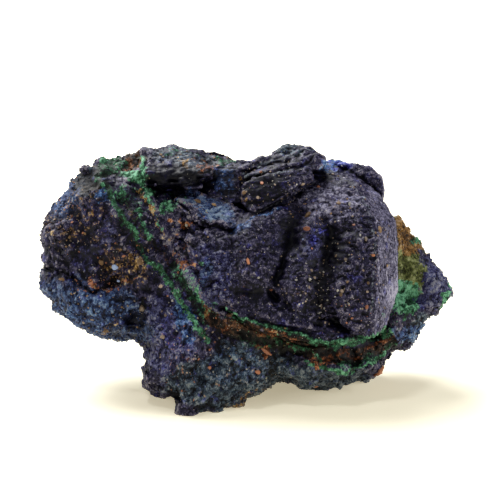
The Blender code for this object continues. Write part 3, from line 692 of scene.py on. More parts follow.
# Colour runs of the minerals, from dark to light.
runStops = (0.15, 0.38, 0.6, 0.82, 1.1)
colourRuns = {
    "dark": (
        (0.001, 0.001, 0.004), (0.006, 0.005, 0.02), (0.022, 0.019, 0.052), (0.07, 0.064, 0.112), (0.2, 0.18, 0.21)),
    "violet": (
        (0.002, 0.002, 0.009), (0.013, 0.011, 0.048), (0.036, 0.037, 0.11), (0.085, 0.092, 0.18), (0.2, 0.2, 0.25)),
    "teal": (
        (0.002, 0.002, 0.003), (0.009, 0.014, 0.024), (0.032, 0.05, 0.078), (0.08, 0.112, 0.14), (0.18, 0.2, 0.21)),
    "blue": (
        (0.002, 0.003, 0.011), (0.009, 0.016, 0.055), (0.027, 0.05, 0.14), (0.068, 0.11, 0.215), (0.16, 0.215, 0.29)),
    "azure": (
        (0.003, 0.006, 0.022), (0.012, 0.028, 0.09), (0.032, 0.08, 0.22), (0.08, 0.17, 0.36), (0.24, 0.34, 0.48)),
    "lavender": (
        (0.006, 0.005, 0.018), (0.04, 0.036, 0.068), (0.1, 0.094, 0.155), (0.19, 0.18, 0.265), (0.32, 0.31, 0.4)),
    "vivid": ((0.006, 0.004, 0.04), (0.016, 0.013, 0.12), (0.04, 0.042, 0.27), (0.08, 0.095, 0.42), (0.2, 0.23, 0.5)),
    "pale": (
        (0.01, 0.012, 0.018), (0.038, 0.044, 0.058), (0.09, 0.112, 0.135), (0.165, 0.2, 0.225), (0.32, 0.35, 0.36)),
    "olive": (
        (0.012, 0.013, 0.005), (0.045, 0.05, 0.016), (0.095, 0.112, 0.03), (0.19, 0.21, 0.075), (0.3, 0.3, 0.15)),
    "brown": (
        (0.018, 0.007, 0.002), (0.075, 0.034, 0.007), (0.165, 0.078, 0.016), (0.26, 0.145, 0.045), (0.4, 0.28, 0.14)),
    "iron": (
        (0.002, 0.002, 0.002), (0.008, 0.006, 0.005), (0.024, 0.013, 0.009), (0.06, 0.028, 0.015),
        (0.15, 0.07, 0.035)),
    "rust": (
        (0.02, 0.006, 0.003), (0.08, 0.024, 0.009), (0.17, 0.052, 0.018), (0.32, 0.115, 0.045), (0.5, 0.25, 0.12)),
    "ochre": ((0.02, 0.01, 0.004), (0.09, 0.046, 0.012), (0.22, 0.12, 0.035), (0.4, 0.26, 0.1), (0.55, 0.42, 0.25)),
    "malachite": (
        (0.003, 0.009, 0.005), (0.01, 0.036, 0.018), (0.026, 0.096, 0.048), (0.062, 0.21, 0.108), (0.16, 0.4, 0.24)),
}
runs = {name: list(zip(runStops, colours)) for name, colours in colourRuns.items()}


def mineralFinish(name, roughness, grainSize, bumpHeight, contrast):
    material, place, shader = newFinish(name)
    place = inMillimetres(place)
    broad = noiseWire(place, 2.2)
    middle = noiseWire(place, 0.6)
    drawn = place.node("ShaderNodeVectorMath", {"operation": "MULTIPLY"}, {0: place, 1: (1.0, 0.8, 0.55)})
    fine = noiseWire(drawn, grainSize, 4.0, 0.75, 0.8)
    tiny = noiseWire(place, grainSize * 0.45, 2.0, 0.6)
    cells = place.node("ShaderNodeTexVoronoi", None, {"Vector": place, "Scale": 1.0 / grainSize}, 1)
    cellParts = cells.node("ShaderNodeSeparateColor", None, {0: cells})
    coarse = noiseWire(drawn, 0.34, 3.0, 0.7, 1.6)
    value = (fine - 0.5) * 1.2 + (tiny - 0.5) * 0.4 + (cellParts - 0.5) * 0.3
    value = value + (coarse - 0.5) * 1.4 + (middle - 0.5) * 0.85
    # the tone of each point is raised and lowered by its painted light and shade
    value = value * contrast + (place.mask("shade") - 0.5) * 0.45 + place.mask("crest")
    colour = value.run(runs["dark"])
    for tone in ("violet", "teal", "blue", "azure", "lavender", "pale", "vivid"):
        amount = (place.mask(tone) + (broad - 0.5) * 0.5 + (middle - 0.5) * 0.9 + (fine - 0.5) * 0.6).step(0.25, 0.8)
        colour = amount.over(colour, value.run(runs[tone]))
    # vivid blue and earth here and there
    spots = (noiseWire(place, 1.3) + (fine - 0.5) * 0.4).step(0.6, 0.7)
    colour = (spots * 0.42).over(colour, value.run(runs["vivid"]))
    earth = (noiseWire(place.moved(40.0), 0.6) + (fine - 0.5) * 0.5).step(0.66, 0.76)
    colour = (earth * 0.4).over(colour, value.run(runs["brown"]))
    speck = (middle - 0.5) * 1.5 + (fine - 0.5) * 1.5
    for mineral in ("olive", "brown", "iron", "rust", "ochre", "malachite"):
        amount = (place.mask(mineral) + speck).step(0.42, 0.62)
        colour = amount.over(colour, value.run(runs[mineral]))
    colour.plug(shader, "Base Color")
    (roughness + (fine - 0.5) * 0.4 + place.mask("lavender") * 0.25).plug(shader, "Roughness")
    shader.inputs["Specular IOR Level"].default_value = 0.14
    (fine * 0.6 + cellParts * 0.25 + tiny * 0.25).relief(shader, 0.9, bumpHeight)
    return material


rockFinish = mineralFinish("azuriteMatrix", 0.45, 0.25, 0.12, 1.0)
crystalFinish = mineralFinish("azuriteCrystal", 0.4, 0.2, 0.08, 1.15)
print("finishes made")


# ---- relief ----
def bumps(points, size, height, seed):
    # rounded lumps with creases between them: about -1 to 1, times the height
    near, chance = cellsAt(points, size, seed)
    return (0.55 - near) * (1.2 + 2.0 * chance) * height


def pits(points, size, depth, seed, share):
    # hollows with firm edges in a share of the cells
    near, chance = cellsAt(points, size, seed, 0.6)
    return -depth * (1 - smoothStep(near, 0.22, 0.5)) * (chance < share)


def settle(points):
    # nothing goes below the surface that the specimen rests on
    points[:, 2] = np.maximum(points[:, 2], 0.0)
    return points


def moveVertices(mesh, points):
    mesh.vertices.foreach_set("co", settle(points).astype(np.float32).ravel())
    mesh.update()


def grainSizes(rng, count, low, high, slim=0.6):
    length = low + (high - low) * rng.random(count) ** 1.8
    return np.stack((length, length * (slim + (1 - slim) * rng.random(count)), length), axis=1) * mm


def openPlaces(mesh, count, rng, tree, clearance, gap=0.0):
    # places on a surface that don't face the other piece and aren't within the gap of it
    places, normals, vertices = surfaceSamples(mesh, count, rng)
    free = []
    for place, normal in zip(places.tolist(), normals.tolist()):
        hit = tree.ray_cast(Vector(place) + Vector(normal) * 0.01 * mm, Vector(normal), clearance * mm)[0]
        free.append(hit is None and (not gap or tree.find_nearest(Vector(place), gap * mm)[0] is None))
    return places[free], normals[free], vertices[free]


solidTrees = {name: searchTree(node.data) for name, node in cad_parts.items()}

# Clefts that are filled before the furrows are pressed in. Each is a block that runs from one x to another,
# with the corners y, z of its outline, or a block with the corners given one by one.
fillings = {
    "crystal_cluster": {
        "betweenRibs": ((4.2, 6.3), [(-5.6, 25.0), (-7.0, 23.7), (-8.0, 20.1), (-2.5, 25.0), (-2.5, 20.1)]),
        "besideGreatCrystal": ((8.8, 11.3), [(-8.3, 19.5), (-9.1, 17.0), (-9.2, 12.7), (-2.0, 19.5), (-2.0, 12.7)]),
        "leftHollow": (None, [
            (-11.4, -4.3, 26.4), (-11.4, -4.7, 22.4), (-8.5, -4.0, 27.0), (-7.8, -4.9, 24.8), (-5.2, -5.9, 23.2),
            (-4.6, -6.1, 22.2), (-11.4, -0.5, 26.4), (-11.4, -0.5, 22.4), (-8.5, -0.5, 27.0), (-4.6, -0.5, 22.2)]),
        "underLeftRib": ((-2.1, 5.0), [(-8.0, 18.3), (-9.2, 16.6), (-9.0, 14.1), (-3.0, 18.3), (-3.0, 14.1)]),
    },
    "matrix": {
        "besideBank": ((18.4, 20.2), [(-0.2, 15.2), (-1.6, 13.4), (-1.6, 11.2), (3.0, 15.2), (3.0, 11.2)]),
    },
}


def filledMesh(node):
    # a merged copy of a CAD node's mesh, with its clefts filled
    bm = bmesh.new()
    bm.from_mesh(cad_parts[node].data)
    bmesh.ops.remove_doubles(bm, verts=bm.verts, dist=1e-6)
    for ends, outline in fillings[node].values():
        corners = [(x, *corner) for x in ends for corner in outline] if ends else outline
        points = [bm.verts.new(faceToWorld @ Vector(corner)) for corner in corners]
        hull = bmesh.ops.convex_hull(bm, input=points)
        spare = {item for item in hull["geom_interior"] + hull["geom_unused"] if isinstance(item, bmesh.types.BMVert)}
        bmesh.ops.delete(bm, geom=list(spare), context="VERTS")
    return bm


def faceData(mesh):
    # what the relief is worked out from: points, normals, both face on, share of the back, minerals
    points, normals = vertexArray(mesh), vertexArray(mesh, "normal")
    facePoints, faceNormals = toFace(points), normals @ turnToFace.T
    back = backShare(facePoints, faceNormals)
    return points, normals, facePoints, faceNormals, back, mineralMasks(facePoints, back)


# ---- the matrix ----
matrixRock = {
    "voxel": 0.265,
    "softening": 2,
    "crystals": 450,         # small crystals merged into the surface
    "crystalSizes": (0.7, 1.6),
    "crystalLift": -0.28,
    "crystalTilt": 0.35,
    "crystalClearance": (3.0, 0.6),
    "swell": (3.2, 0.35),     # size, height
    "rough": (1.3, 0.3),
    "lump": (2.1, 0.26, 1.0),
    "knob": (0.8, 0.09, 2.0),
    "grain": (0.46, 0.1, 3.0),
    "pit": (0.7, 0.26, 4.0, 0.35),
    "growth": -0.17,
    "footing": (0.2, 1.0, 0.7),    # the underside reaches down to what it rests on
    "seamGrowth": 0.5,
    "bank": (20.4, 18.4, 3.2, 7.0),     # smoother, behind the great crystal
}


def makeMatrixRock():
    size = matrixRock
    rng = np.random.default_rng(11)
    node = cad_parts["matrix"]
    tree = solidTrees["crystal_cluster"]
    places, normals, _ = openPlaces(node.data, size["crystals"], rng, tree, *size["crystalClearance"])
    upward = normals[:, 2] > -0.3
    places, normals = places[upward], normals[upward]
    blades = [grainTemplate("blade", seed) for seed in range(8)] + [grainTemplate("block", seed) for seed in range(4)]
    grains, _ = joinedGrains(
        "grains", blades, places, normals, grainSizes(rng, len(places), *size["crystalSizes"]), rng,
        size["crystalLift"], size["crystalTilt"],
    )
    bm = filledMesh("matrix")
    bm.from_mesh(grains)
    mesh = remeshed(bm, "matrixRock", size["voxel"], size["softening"])
    points, normals, facePoints, faceNormals, back, masks = faceData(mesh)
    seam = nearness(points, tree, 0.35, 1.1)
    bank = patchAt(facePoints, *size["bank"]) * (1 - back)
    broad = sum(noiseAt(facePoints, scale) * high for scale, high in (size["swell"], size["rough"]))
    broad = (broad + bumps(facePoints, *size["lump"])) * (1 - 0.75 * bank)
    small = bumps(facePoints, *size["knob"]) + bumps(facePoints, *size["grain"]) + pits(facePoints, *size["pit"])
    small *= 1 - 0.6 * np.clip(masks["malachite"] + bank, 0.0, 1.0)
    height = (broad + small) * (1 - 0.5 * seam) + size["growth"] + size["seamGrowth"] * seam
    low, high, reach = size["footing"]
    swell = summed(facePoints, swellings, 0.3, 1.1)
    footing = (1 - smoothStep(points[:, 2] / mm, low, high)) * smoothStep(-normals[:, 2], 0.3, 0.7)
    height += reach * footing * smoothStep(swell, -0.3, 0.0)
    height += 0.08 * masks["malachite"] - 0.16 * masks["iron"] + swell
    pressed = pressedIn(facePoints, faceNormals)
    moveVertices(mesh, displaced(points, normals, height, pressed))
    # painted light on the raised bumps and painted shade in the pressed furrows
    light = small * 0.5 - 0.12 * pressed
    return finishedRelief(mesh, "matrixRock", "matrix", rockFinish, masks, light, back, 12)


# Painted light and shade: how much edges are painted lighter and creases and hollows darker.
shading = {
    "middle": 0.43,
    "edgePasses": 6,
    "edge": (2.2, -0.34, 0.28),     # how much, least, most
    "wideEdgePasses": 40,
    "wideEdge": (0.35, -0.2, 0.16),
    "shelter": (4.0, 6),            # reach, rays
    "shelterPasses": 3,
    "hollow": (0.55, 0.12, 0.72),   # how much, from and to which share of the sky
}


def finishedRelief(mesh, name, node, finish, masks, light, back, seed):
    # colours the displaced mesh with painted light and shade: painted highlights on its edges, painted shade in its
    # creases and hollows
    points, normals, edges = vertexArray(mesh), vertexArray(mesh, "normal"), edgeArray(mesh)
    trees = [searchTree(mesh), solidTrees["matrix" if node == "crystal_cluster" else "crystal_cluster"]]
    hidden = blurred(shelter(points, normals, trees, *shading["shelter"], seed), edges, shading["shelterPasses"])
    # painted light and shade of each point: lighter on edges and bumps, darker in creases, furrows and hollows, then
    # made lighter and darker by place
    crest = shading["middle"] + light
    for kind in ("edge", "wideEdge"):
        much, least, most = shading[kind]
        crest = crest + np.clip(much * edgeSharpness(points, normals, edges, shading[kind + "Passes"]), least, most)
    much, low, high = shading["hollow"]
    crest = crest - much * (np.clip(hidden, low, high) - low)
    masks["crest"] = crest + summed(toFace(points), paintedLightAndShade, 0.4, 1.15) * (1 - back)
    masks["shade"] = np.full(len(points), 0.5)
    return newPiece(name, mesh, finish, masks, node)


rock = makeMatrixRock()

# ---- the large crystals ----
largeCrystals = {
    "voxel": 0.207,
    "softening": 2,
    "rounding": (5.4, 18.6, 7.0, 7.4),     # where the ribs' edges are worn round
    "roundingPasses": 50,
    "stretch": (0.7, 1.0, 1.2),     # the pits of the faces are longer sideways
    "pitted": (12.4, 17.0, 6.0, 7.6),
    "pittedElsewhere": 0.35,
    "lump": (1.7, 0.13, 5.0),
    "rough": (0.8, 0.12, 9.0),
    "pit": (0.6, 0.36, 2.0, 0.6),
    "knob": (0.6, 0.1, 4.0),
    "grain": (0.38, 0.07, 3.0),
    "streak": (0.4, 0.07, 7.0),
    "streakStretch": (1.0, 1.0, 0.2),
    "facetPit": (0.42, 0.3, 8.0, 0.4),
    "facetPitStretch": (1.0, 1.0, 0.45),
    "facetFrom": 14.8,
    "growth": 0.05,
    "seamGrowth": 0.3,
    "shoulder": (-6.2, 19.4, 4.4, 7.6),
    "shoulderLump": (1.1, 0.34, 6.0),
}


def makeLargeCrystals():
    size = largeCrystals
    mesh = remeshed(filledMesh("crystal_cluster"), "largeCrystals", size["voxel"], size["softening"])
    points = vertexArray(mesh)
    worn = patchAt(toFace(points), *size["rounding"])[:, None]
    moveVertices(mesh, points + worn * (blurred(points, edgeArray(mesh), size["roundingPasses"]) - points))
    points, normals, facePoints, faceNormals, back, masks = faceData(mesh)
    for mineral in bankMinerals:
        masks[mineral] *= 0
    rightOfCrystals = smoothStep(asMarks(facePoints)[:, 0], 17.0, 17.6) * smoothStep(facePoints[:, 2], 11.5, 12.5)
    masks["malachite"] *= 1 - rightOfCrystals
    shoulder = patchAt(facePoints, *size["shoulder"])
    facet = smoothStep(faceNormals[:, 0], 0.45, 0.7)
    facet *= smoothStep(asMarks(facePoints)[:, 0], size["facetFrom"], size["facetFrom"] + 1)
    stretched = facePoints * np.array(size["stretch"])
    broad = bumps(facePoints, *size["lump"]) + shoulder * bumps(facePoints, *size["shoulderLump"])
    scale, high, seed = size["rough"]
    broad += high * noiseAt(stretched, scale, seed) * (1 - facet)
    elsewhere = size["pittedElsewhere"]
    pitted = elsewhere + (1 - elsewhere) * patchAt(facePoints, *size["pitted"])
    small = pits(stretched, *size["pit"]) * pitted + bumps(stretched, *size["knob"])
    small = small + bumps(facePoints, *size["grain"])
    scale, high, seed = size["streak"]
    streaks = high * noiseAt(facePoints * np.array(size["streakStretch"]), scale, seed)
    streaks += pits(facePoints * np.array(size["facetPitStretch"]), *size["facetPit"])
    small = small * (1 - facet) + streaks * facet
    seam = nearness(points, solidTrees["matrix"], 0.35, 1.0)
    height = broad + small + size["growth"] + size["seamGrowth"] * seam + 0.12 * masks["malachite"]
    height += summed(facePoints, swellings, 0.3, 1.1)
    # painted highlight: the facet that faces the right-hand lamp takes the lighter lavender colours
    masks["lavender"] = np.maximum(masks["lavender"], 0.95 * facet)
    pressed = pressedIn(facePoints, faceNormals)
    moveVertices(mesh, displaced(points, normals, height, pressed))
    # painted light on the raised bumps and painted shade in the pressed furrows
    light = small * 0.65 - 0.17 * pressed
    return finishedRelief(mesh, "largeCrystals", "crystal_cluster", crystalFinish, masks, light, back, 13)


crystals = makeLargeCrystals()
surfaceTrees = {"rock": searchTree(rock.data), "crystals": searchTree(crystals.data)}


# ---- druse: small crystals on the surface ----
def storedMasks(mesh, vertices):
    # what a carrier's mesh holds at some of its vertices
    found = {}
    for name in minerals + ("crest",):
        values = np.empty(len(mesh.vertices), dtype=np.float32)
        mesh.attributes[name].data.foreach_get("value", values)
        found[name] = values[vertices].astype(float)
    return found


def addGrains(name, templates, places, normals, sizes, rng, masks, finish, lift, tilt, along=()):
    # a piece of many grains that take the minerals of the places they stand on, each with a shade of its own
    mesh, owners = joinedGrains(name, templates, places, normals, sizes, rng, lift, tilt, along)
    moveVertices(mesh, vertexArray(mesh))
    masks = {key: values[owners] for key, values in masks.items()}
    masks["shade"] = rng.random(len(places))[owners]
    return newPiece(name, mesh, finish, masks)


def makeDruse(name, carrier, otherTree, settings, kinds, finish, cover=None):
    rng = np.random.default_rng(settings["seed"])
    places, normals, vertices = openPlaces(carrier.data, settings["count"], rng, otherTree, druseClearance)
    masks = storedMasks(carrier.data, vertices)
    keep = np.ones(len(places)) if cover is None else cover(toFace(places), normals @ turnToFace.T)
    kept = rng.random(len(places)) < keep * smoothStep(masks["crest"], 0.1, 0.35)
    masks = {key: values[kept] for key, values in masks.items()}
    masks["crest"] += settings["crest"]
    templates = [grainTemplate(kind, seed) for seed, kind in enumerate(kinds)]
    sizes = grainSizes(rng, int(kept.sum()), *settings["sizes"])
    addGrains(
        name, templates, places[kept], normals[kept], sizes, rng, masks, finish, settings["lift"],
        settings["tilt"])


druseClearance = 2.0
matrixDruse = {
    "coarse": {"count": 5000, "sizes": (0.28, 0.6), "lift": -0.2, "tilt": 0.4, "seed": 21, "crest": 0.02},
    "fine": {"count": 17500, "sizes": (0.16, 0.36), "lift": -0.05, "tilt": 0.6, "seed": 22, "crest": 0.04},
}
for part, settings in matrixDruse.items():
    kinds = ["blade"] * 5 + ["block"] * 5
    makeDruse(part + "MatrixDruse", rock, surfaceTrees["crystals"], settings, kinds, rockFinish)

crystalDruse = {"count": 20000, "sizes": (0.13, 0.3), "lift": -0.2, "tilt": 0.3, "seed": 31, "crest": 0.03}


def druseCover(points, normals):
    # thick on the rough shoulder, thin on tops, almost none on the smooth side facet
    cover = 0.55 - 0.25 * smoothStep(normals[:, 2], 0.3, 0.6) - 0.5 * smoothStep(normals[:, 0], 0.5, 0.75)
    return np.maximum(cover, patchAt(points, *largeCrystals["shoulder"]))


makeDruse(
    "crystalDruse", crystals, surfaceTrees["rock"], crystalDruse, ["block"] * 5 + ["blade"] * 3, crystalFinish,
    druseCover)

# ---- malachite in the seam ----
seamMalachite = {
    "count": 50000, "reach": 0.36, "clearance": 2.5, "sizes": (0.08, 0.17), "slim": 0.8, "seed": 41, "lift": 0.0,
    "tilt": 0.3, "patch": (2.5, 9.0),
}


def makeSeamMalachite():
    # rounded lumps where the crystals meet the matrix
    settings = seamMalachite
    rng = np.random.default_rng(settings["seed"])
    tree = surfaceTrees["crystals"]
    places, normals, vertices = openPlaces(rock.data, settings["count"], rng, tree, settings["clearance"])
    near = [tree.find_nearest(Vector(place), settings["reach"] * mm)[0] is not None for place in places.tolist()]
    places, normals = places[near], normals[near]
    masks = storedMasks(rock.data, vertices[near])
    patchy = noiseAt(toFace(places), *settings["patch"])
    masks["malachite"] = np.maximum(masks["malachite"], 0.9 * smoothStep(patchy, -0.45, 0.05))
    templates = [grainTemplate("knob", seed) for seed in range(6)]
    sizes = grainSizes(rng, len(places), *settings["sizes"], settings["slim"])
    addGrains(
        "seamMalachite", templates, places, normals, sizes, rng, masks, rockFinish, settings["lift"],
        settings["tilt"])


makeSeamMalachite()

# ---- flakes and specks of other minerals, and pale specks painted as glints ----
flakeKinds = {      # dark and light colour
    "tan": ((0.10, 0.068, 0.045), (0.36, 0.27, 0.20)),
    "ochre": ((0.08, 0.042, 0.014), (0.30, 0.175, 0.075)),
    "orange": ((0.13, 0.04, 0.018), (0.44, 0.17, 0.08)),
    "pale": ((0.2, 0.19, 0.17), (0.5, 0.47, 0.42)),
    "sky": ((0.10, 0.17, 0.38), (0.35, 0.45, 0.7)),
}
# Flakes seen one by one: kind, mark, length, width, turn in degrees.
largeFlakes = [
    ("sky", -16.2, 18.6, 0.8, 0.7, 0), ("sky", -15.8, 16.9, 0.5, 0.35, 0), ("ochre", 7.9, 25.1, 1.1, 0.6, 50),
    ("orange", 7.7, 23.4, 0.8, 0.5, 10), ("ochre", 11.7, 26.6, 0.6, 0.5, 0), ("ochre", 16.8, 23.3, 0.5, 1, 10),
    ("orange", 0.4, 19.2, 0.35, 1, 10), ("tan", 12.6, 19.6, 0.45, 0.4, 0), ("orange", 16, 20.1, 0.5, 0.35, 0),
    ("tan", 15.1, 22.1, 0.4, 0.5, 0), ("tan", 12.1, 15.6, 0.45, 0.4, 0), ("ochre", 12, 15.2, 0.4, 0.5, 0),
    ("tan", 8.3, 18.2, 0.4, 0.4, 0), ("pale", 8.1, 17.1, 0.35, 0.5, 0), ("tan", 8.7, 17.3, 0.4, 0.35, 0),
    ("tan", 8, 16.1, 0.3, 0.4, 0), ("orange", 15.2, 13.6, 0.4, 0.6, 0), ("orange", 3.3, 15.8, 0.5, 0.2, 30),
    ("pale", 1.7, 17.3, 0.3, 0.3, 0), ("pale", 6.4, 17, 0.3, 0.3, 0), ("ochre", -5.9, 26.8, 0.8, 0.75, 0),
    ("ochre", -3.9, 26.4, 0.6, 0.3, -15), ("orange", 2.1, 29.1, 0.4, 0.4, 0), ("ochre", -0.1, 27.9, 0.5, 0.5, 0),
    ("orange", 2, 30.5, 0.4, 0.35, 0), ("tan", 1.6, 27.3, 0.35, 0.35, 0), ("tan", 11, 30.2, 0.4, 0.4, 0),
    ("orange", 9.2, 28.6, 0.4, 0.5, 0), ("tan", 7.2, 29, 0.5, 0.5, 0), ("pale", 13.1, 26.5, 0.35, 0.45, 0),
    ("orange", 13.6, 23.9, 0.35, 0.4, 0), ("ochre", -22.9, 17, 0.75, 0.75, 0), ("tan", -12.9, 13.5, 0.75, 0.8, 0),
    ("ochre", -17.4, 10.7, 0.8, 0.5, 30), ("tan", -10.5, 16.2, 0.7, 0.4, 20), ("tan", -9.9, 12.6, 0.4, 0.5, 0),
    ("tan", -10.3, 9.9, 0.6, 0.55, 0), ("orange", -4.5, 6, 0.55, 0.5, 0), ("orange", 1.6, 5.5, 0.7, 0.55, -20),
    ("orange", 2.6, 8.1, 1.6, 0.4, -38), ("orange", 16.9, 5.7, 1.2, 0.5, 55), ("orange", 8.9, 3.7, 0.5, 0.3, -30),
    ("ochre", 1.4, 3.3, 0.4, 0.4, 0), ("ochre", -13.2, 19.2, 0.7, 0.9, 20), ("ochre", -21.9, 22.4, 0.5, 0.5, 0),
    ("orange", -14.9, 16.9, 0.5, 0.4, 0), ("orange", -19.3, 16.5, 0.6, 0.5, 0), ("ochre", -18, 19.2, 0.5, 0.7, 30),
    ("pale", -18, 15, 0.3, 0.3, 0), ("pale", -7.3, 23.9, 0.4, 0.5, 0),
]
specks = {
    "count": 1300, "sizes": (0.13, 0.36), "seed": 51, "patch": 2.2, "tilt": 0.5, "lift": 0.04,
    "chances": (0.62, 0.14, 0.06, 0.16, 0.02),      # of the kinds
    "grow": 1.25, "thickness": 0.55,                # of the large flakes
}
# Where specks lie close together: kinds, centre mark, radii, number, largest size.
speckZones = {
    "greatCrystalFront": (("tan", "tan", "pale", "ochre"), (12.8, 18.4), (3.0, 5.4), 34, 0.5),
    "greatCrystalLow": (("tan", "orange", "pale"), (12.6, 13.4), (3.4, 2.6), 22, 0.42),
    "rightGroove": (("tan", "pale"), (10.2, 14.6), (1.8, 3.4), 20, 0.4),
    "middleRibFoot": (("tan", "tan", "pale"), (7.2, 16.4), (3.4, 3.0), 30, 0.36),
    "lobeLeft": (("ochre", "ochre", "tan", "orange"), (-21.9, 25.0), (2.8, 5.2), 100, 0.46),
    "lobeWeb": (("ochre", "orange", "ochre"), (-15.4, 19.6), (3.6, 3.0), 56, 0.5),
    "lobeSeam": (("orange", "ochre"), (-18.2, 16.5), (3.4, 1.2), 50, 0.46),
    "lobeLow": (("tan", "ochre"), (-19.0, 12.6), (6.4, 4.6), 90, 0.46),
    "topSlope": (("ochre", "tan"), (9.6, 27.2), (5.6, 3.2), 60, 0.4),
    "stack": (("tan", "tan", "pale"), (3.4, 29.2), (4.6, 3.0), 45, 0.3),
    "blade": (("ochre", "tan", "ochre", "tan"), (-5.6, 32.3), (5.4, 1.3), 28, 0.5),
    "body": (("tan", "orange", "pale"), (-6.0, 9.0), (7.0, 7.4), 90, 0.42),
    "rightEdge": (("ochre", "tan"), (17.0, 19.0), (1.1, 7.0), 28, 0.5),
    "slantingBlade": (("ochre", "tan"), (-4.6, 26.2), (4.2, 1.6), 22, 0.34),
    # painted glints: tiny pale flakes spread all over that stand for sparkles of light
    "glints": (("pale",), (-1.0, 17.0), (24.0, 16.0), 380, 0.19),
}


def flakeTemplate(seed):
    # a flat chip with an uneven outline, 1 across
    dice = random.Random(seed)
    bm = bmesh.new()
    bmesh.ops.create_circle(bm, cap_ends=True, segments=7, radius=0.5)
    for vert in bm.verts:
        vert.co *= dice.uniform(0.75, 1.1)
    solid = bmesh.ops.extrude_face_region(bm, geom=list(bm.faces))
    top = [item for item in solid["geom"] if isinstance(item, bmesh.types.BMVert)]
    for vert in top:
        vert.co = Vector((vert.co.x * 0.75, vert.co.y * 0.75, 0.22 + dice.uniform(-0.06, 0.06)))
    bmesh.ops.recalc_face_normals(bm, faces=bm.faces)
    return meshArrays(bm)


def flakeFinish():
    material, place, shader = newFinish("mineralFlakes")
    place = inMillimetres(place)
    grain = noiseWire(place, 0.18, 3.0, 0.7)
    value = place.mask("shade") * 0.7 + (grain - 0.5) * 1.0 + 0.15
    colour = (0.0, 0.0, 0.0, 1.0)
    for kind, (low, high) in flakeKinds.items():
        colour = place.mask(kind).over(colour, value.run([(0.15, low), (0.85, high)]))
    colour.plug(shader, "Base Color")
    (0.35 + grain * 0.4).plug(shader, "Roughness")
    grain.relief(shader, 0.6, 0.05)
    return material


def seenPlaces(marks):
    # where the line from the eye through each mark meets the surface
    eye = Vector(stance["eye"])
    found = []
    for x, z in marks:
        start = faceToWorld @ eye
        way = faceToWorld @ Vector((x, stance["markPlane"], z)) - start
        hits = [tree.ray_cast(start, way) for tree in surfaceTrees.values()]
        hits = [hit for hit in hits if hit[0] is not None]
        found.append(min(hits, key=lambda hit: hit[3]) if hits else None)
    return found


def makeFlakes():
    rng = np.random.default_rng(specks["seed"])
    places, normals, sizes, kinds, along = [], [], [], [], []
    kindNames = list(flakeKinds)
    for (kind, _, _, long, wide, turn), hit in zip(largeFlakes, seenPlaces([flake[1:3] for flake in largeFlakes])):
        if hit is None:
            continue
        places.append(hit[0][:])
        normals.append(hit[1][:])
        grow, thickness = specks["grow"] * mm, specks["thickness"] * mm
        sizes.append([long * grow, wide * grow, thickness * (long + wide)])
        kinds.append(kindNames.index(kind))
        turn = math.radians(turn)
        along.append(turnToFace.T @ np.array((math.cos(turn), 0.0, math.sin(turn))))
    for zone, centre, radii, count, largest in speckZones.values():
        turn, way = rng.random(count) * 2 * math.pi, np.sqrt(rng.random(count))
        inside = np.stack((np.cos(turn), np.sin(turn)), axis=1) * way[:, None]
        for hit in seenPlaces(np.array(centre) + inside * np.array(radii)):
            if hit is not None:
                places.append(hit[0][:])
                normals.append(hit[1][:])
                kinds.append(kindNames.index(zone[rng.integers(len(zone))]))
        sizes += grainSizes(rng, len(places) - len(sizes), specks["sizes"][0], largest).tolist()
    for carrier in (rock, crystals):
        found, facing, _ = surfaceSamples(carrier.data, specks["count"] // 2, rng)
        kept = rng.random(len(found)) < smoothStep(noiseAt(toFace(found), specks["patch"], 6.0), -0.6, 0.5)
        places += found[kept].tolist()
        normals += facing[kept].tolist()
        sizes += grainSizes(rng, int(kept.sum()), *specks["sizes"]).tolist()
        kinds += rng.choice(len(kindNames), size=int(kept.sum()), p=specks["chances"]).tolist()
    masks = {kind: (np.array(kinds) == number).astype(float) for number, kind in enumerate(kindNames)}
    addGrains(
        "mineralFlakes", [flakeTemplate(seed) for seed in range(8)], np.array(places), np.array(normals),
        np.array(sizes), rng, masks, flakeFinish(), specks["lift"], specks["tilt"], along)


makeFlakes()

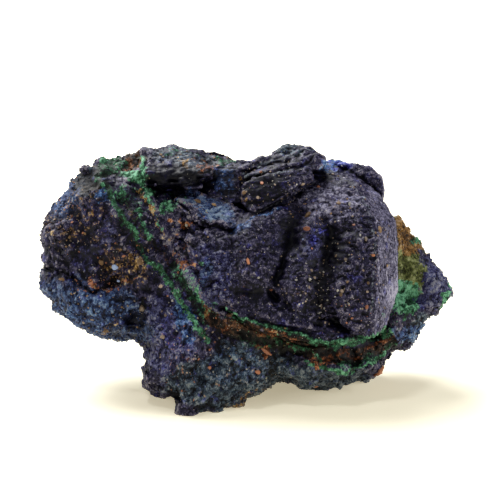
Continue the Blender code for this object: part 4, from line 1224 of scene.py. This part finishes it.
# ---- stage, light and camera ----
studio = {
    "floorColour": (0.84, 0.82, 0.7),
    "shadowTint": (0.41, 0.36, 0.25),    # the glow of the paper, seen alone in the shadow
    "farGlow": (0.08, 0.25),             # from here on out the paper turns white
    "floorSize": 1.5,
    "backdrop": 1.0,
    "ambient": 0.18,
    "aim": (0.0, 0.0, 0.012),
    "lens": 149.76,
    "clip": (0.01, 10.0),
}
softboxes = {      # place, width, height, power
    "overhead": ((-0.12, 0.17, 0.28), 0.28, 0.22, 2.4),
    "spark": ((-0.10, -0.12, 0.34), 0.05, 0.05, 0.25),
    "rightWindow": ((0.32, -0.07, 0.12), 0.2, 0.2, 0.66),
    "leftWindow": ((-0.31, 0.06, 0.09), 0.2, 0.16, 0.4),
}


def makeStage():
    bm = bmesh.new()
    bmesh.ops.create_grid(bm, x_segments=1, y_segments=1, size=studio["floorSize"])
    mesh = bpy.data.meshes.new("floor")
    bm.to_mesh(mesh)
    bm.free()
    floor = addObject("floor", mesh)
    material, place, shader = newFinish("glowingPaper")
    shader.inputs["Base Color"].default_value = (*studio["floorColour"], 1.0)
    shader.inputs["Roughness"].default_value = 0.9
    shader.inputs["Specular IOR Level"].default_value = 0.2
    # painted light: the paper glows though it is no lamp, cream near the specimen, where it gives the colour of the
    # shadow, and white farther out
    distance = place.node("ShaderNodeVectorMath", {"operation": "LENGTH"}, {0: place}, 1)
    glow = distance.step(*studio["farGlow"]).over((*studio["shadowTint"], 1.0), (1.0, 1.0, 1.0))
    glow.plug(shader, "Emission Color")
    shader.inputs["Emission Strength"].default_value = 1.0
    mesh.materials.append(material)


def pointAt(holder, place, aim):
    holder.location = place
    holder.rotation_mode = "QUATERNION"
    holder.rotation_quaternion = (Vector(aim) - Vector(place)).to_track_quat("-Z", "Y")


def makeLight():
    world = bpy.data.worlds.new("studio")
    bpy.context.scene.world = world
    world.use_nodes = True
    background = world.node_tree.nodes["Background"]
    path = Wire(world.node_tree, None).node("ShaderNodeLightPath", output="Is Camera Ray")
    (path * (studio["backdrop"] - studio["ambient"]) + studio["ambient"]).plug(background, "Strength")
    background.inputs["Color"].default_value = (1, 1, 1, 1)
    for name, (place, width, height, power) in softboxes.items():
        light = bpy.data.lights.new(name, "AREA")
        light.shape = "RECTANGLE"
        light.size, light.size_y = width, height
        light.energy = power
        pointAt(addObject(name, light), place, studio["aim"])
    bpy.context.scene.view_settings.view_transform = "Standard"


def makeCamera():
    camera = bpy.data.cameras.new("camera")
    camera.lens = studio["lens"]
    camera.clip_start, camera.clip_end = studio["clip"]
    holder = addObject("camera", camera)
    eye = Vector(stance["eye"])
    pointAt(holder, faceToWorld @ eye, faceToWorld @ Vector((eye.x, stance["markPlane"], eye.z)))
    bpy.context.scene.camera = holder


makeStage()
makeLight()
makeCamera()
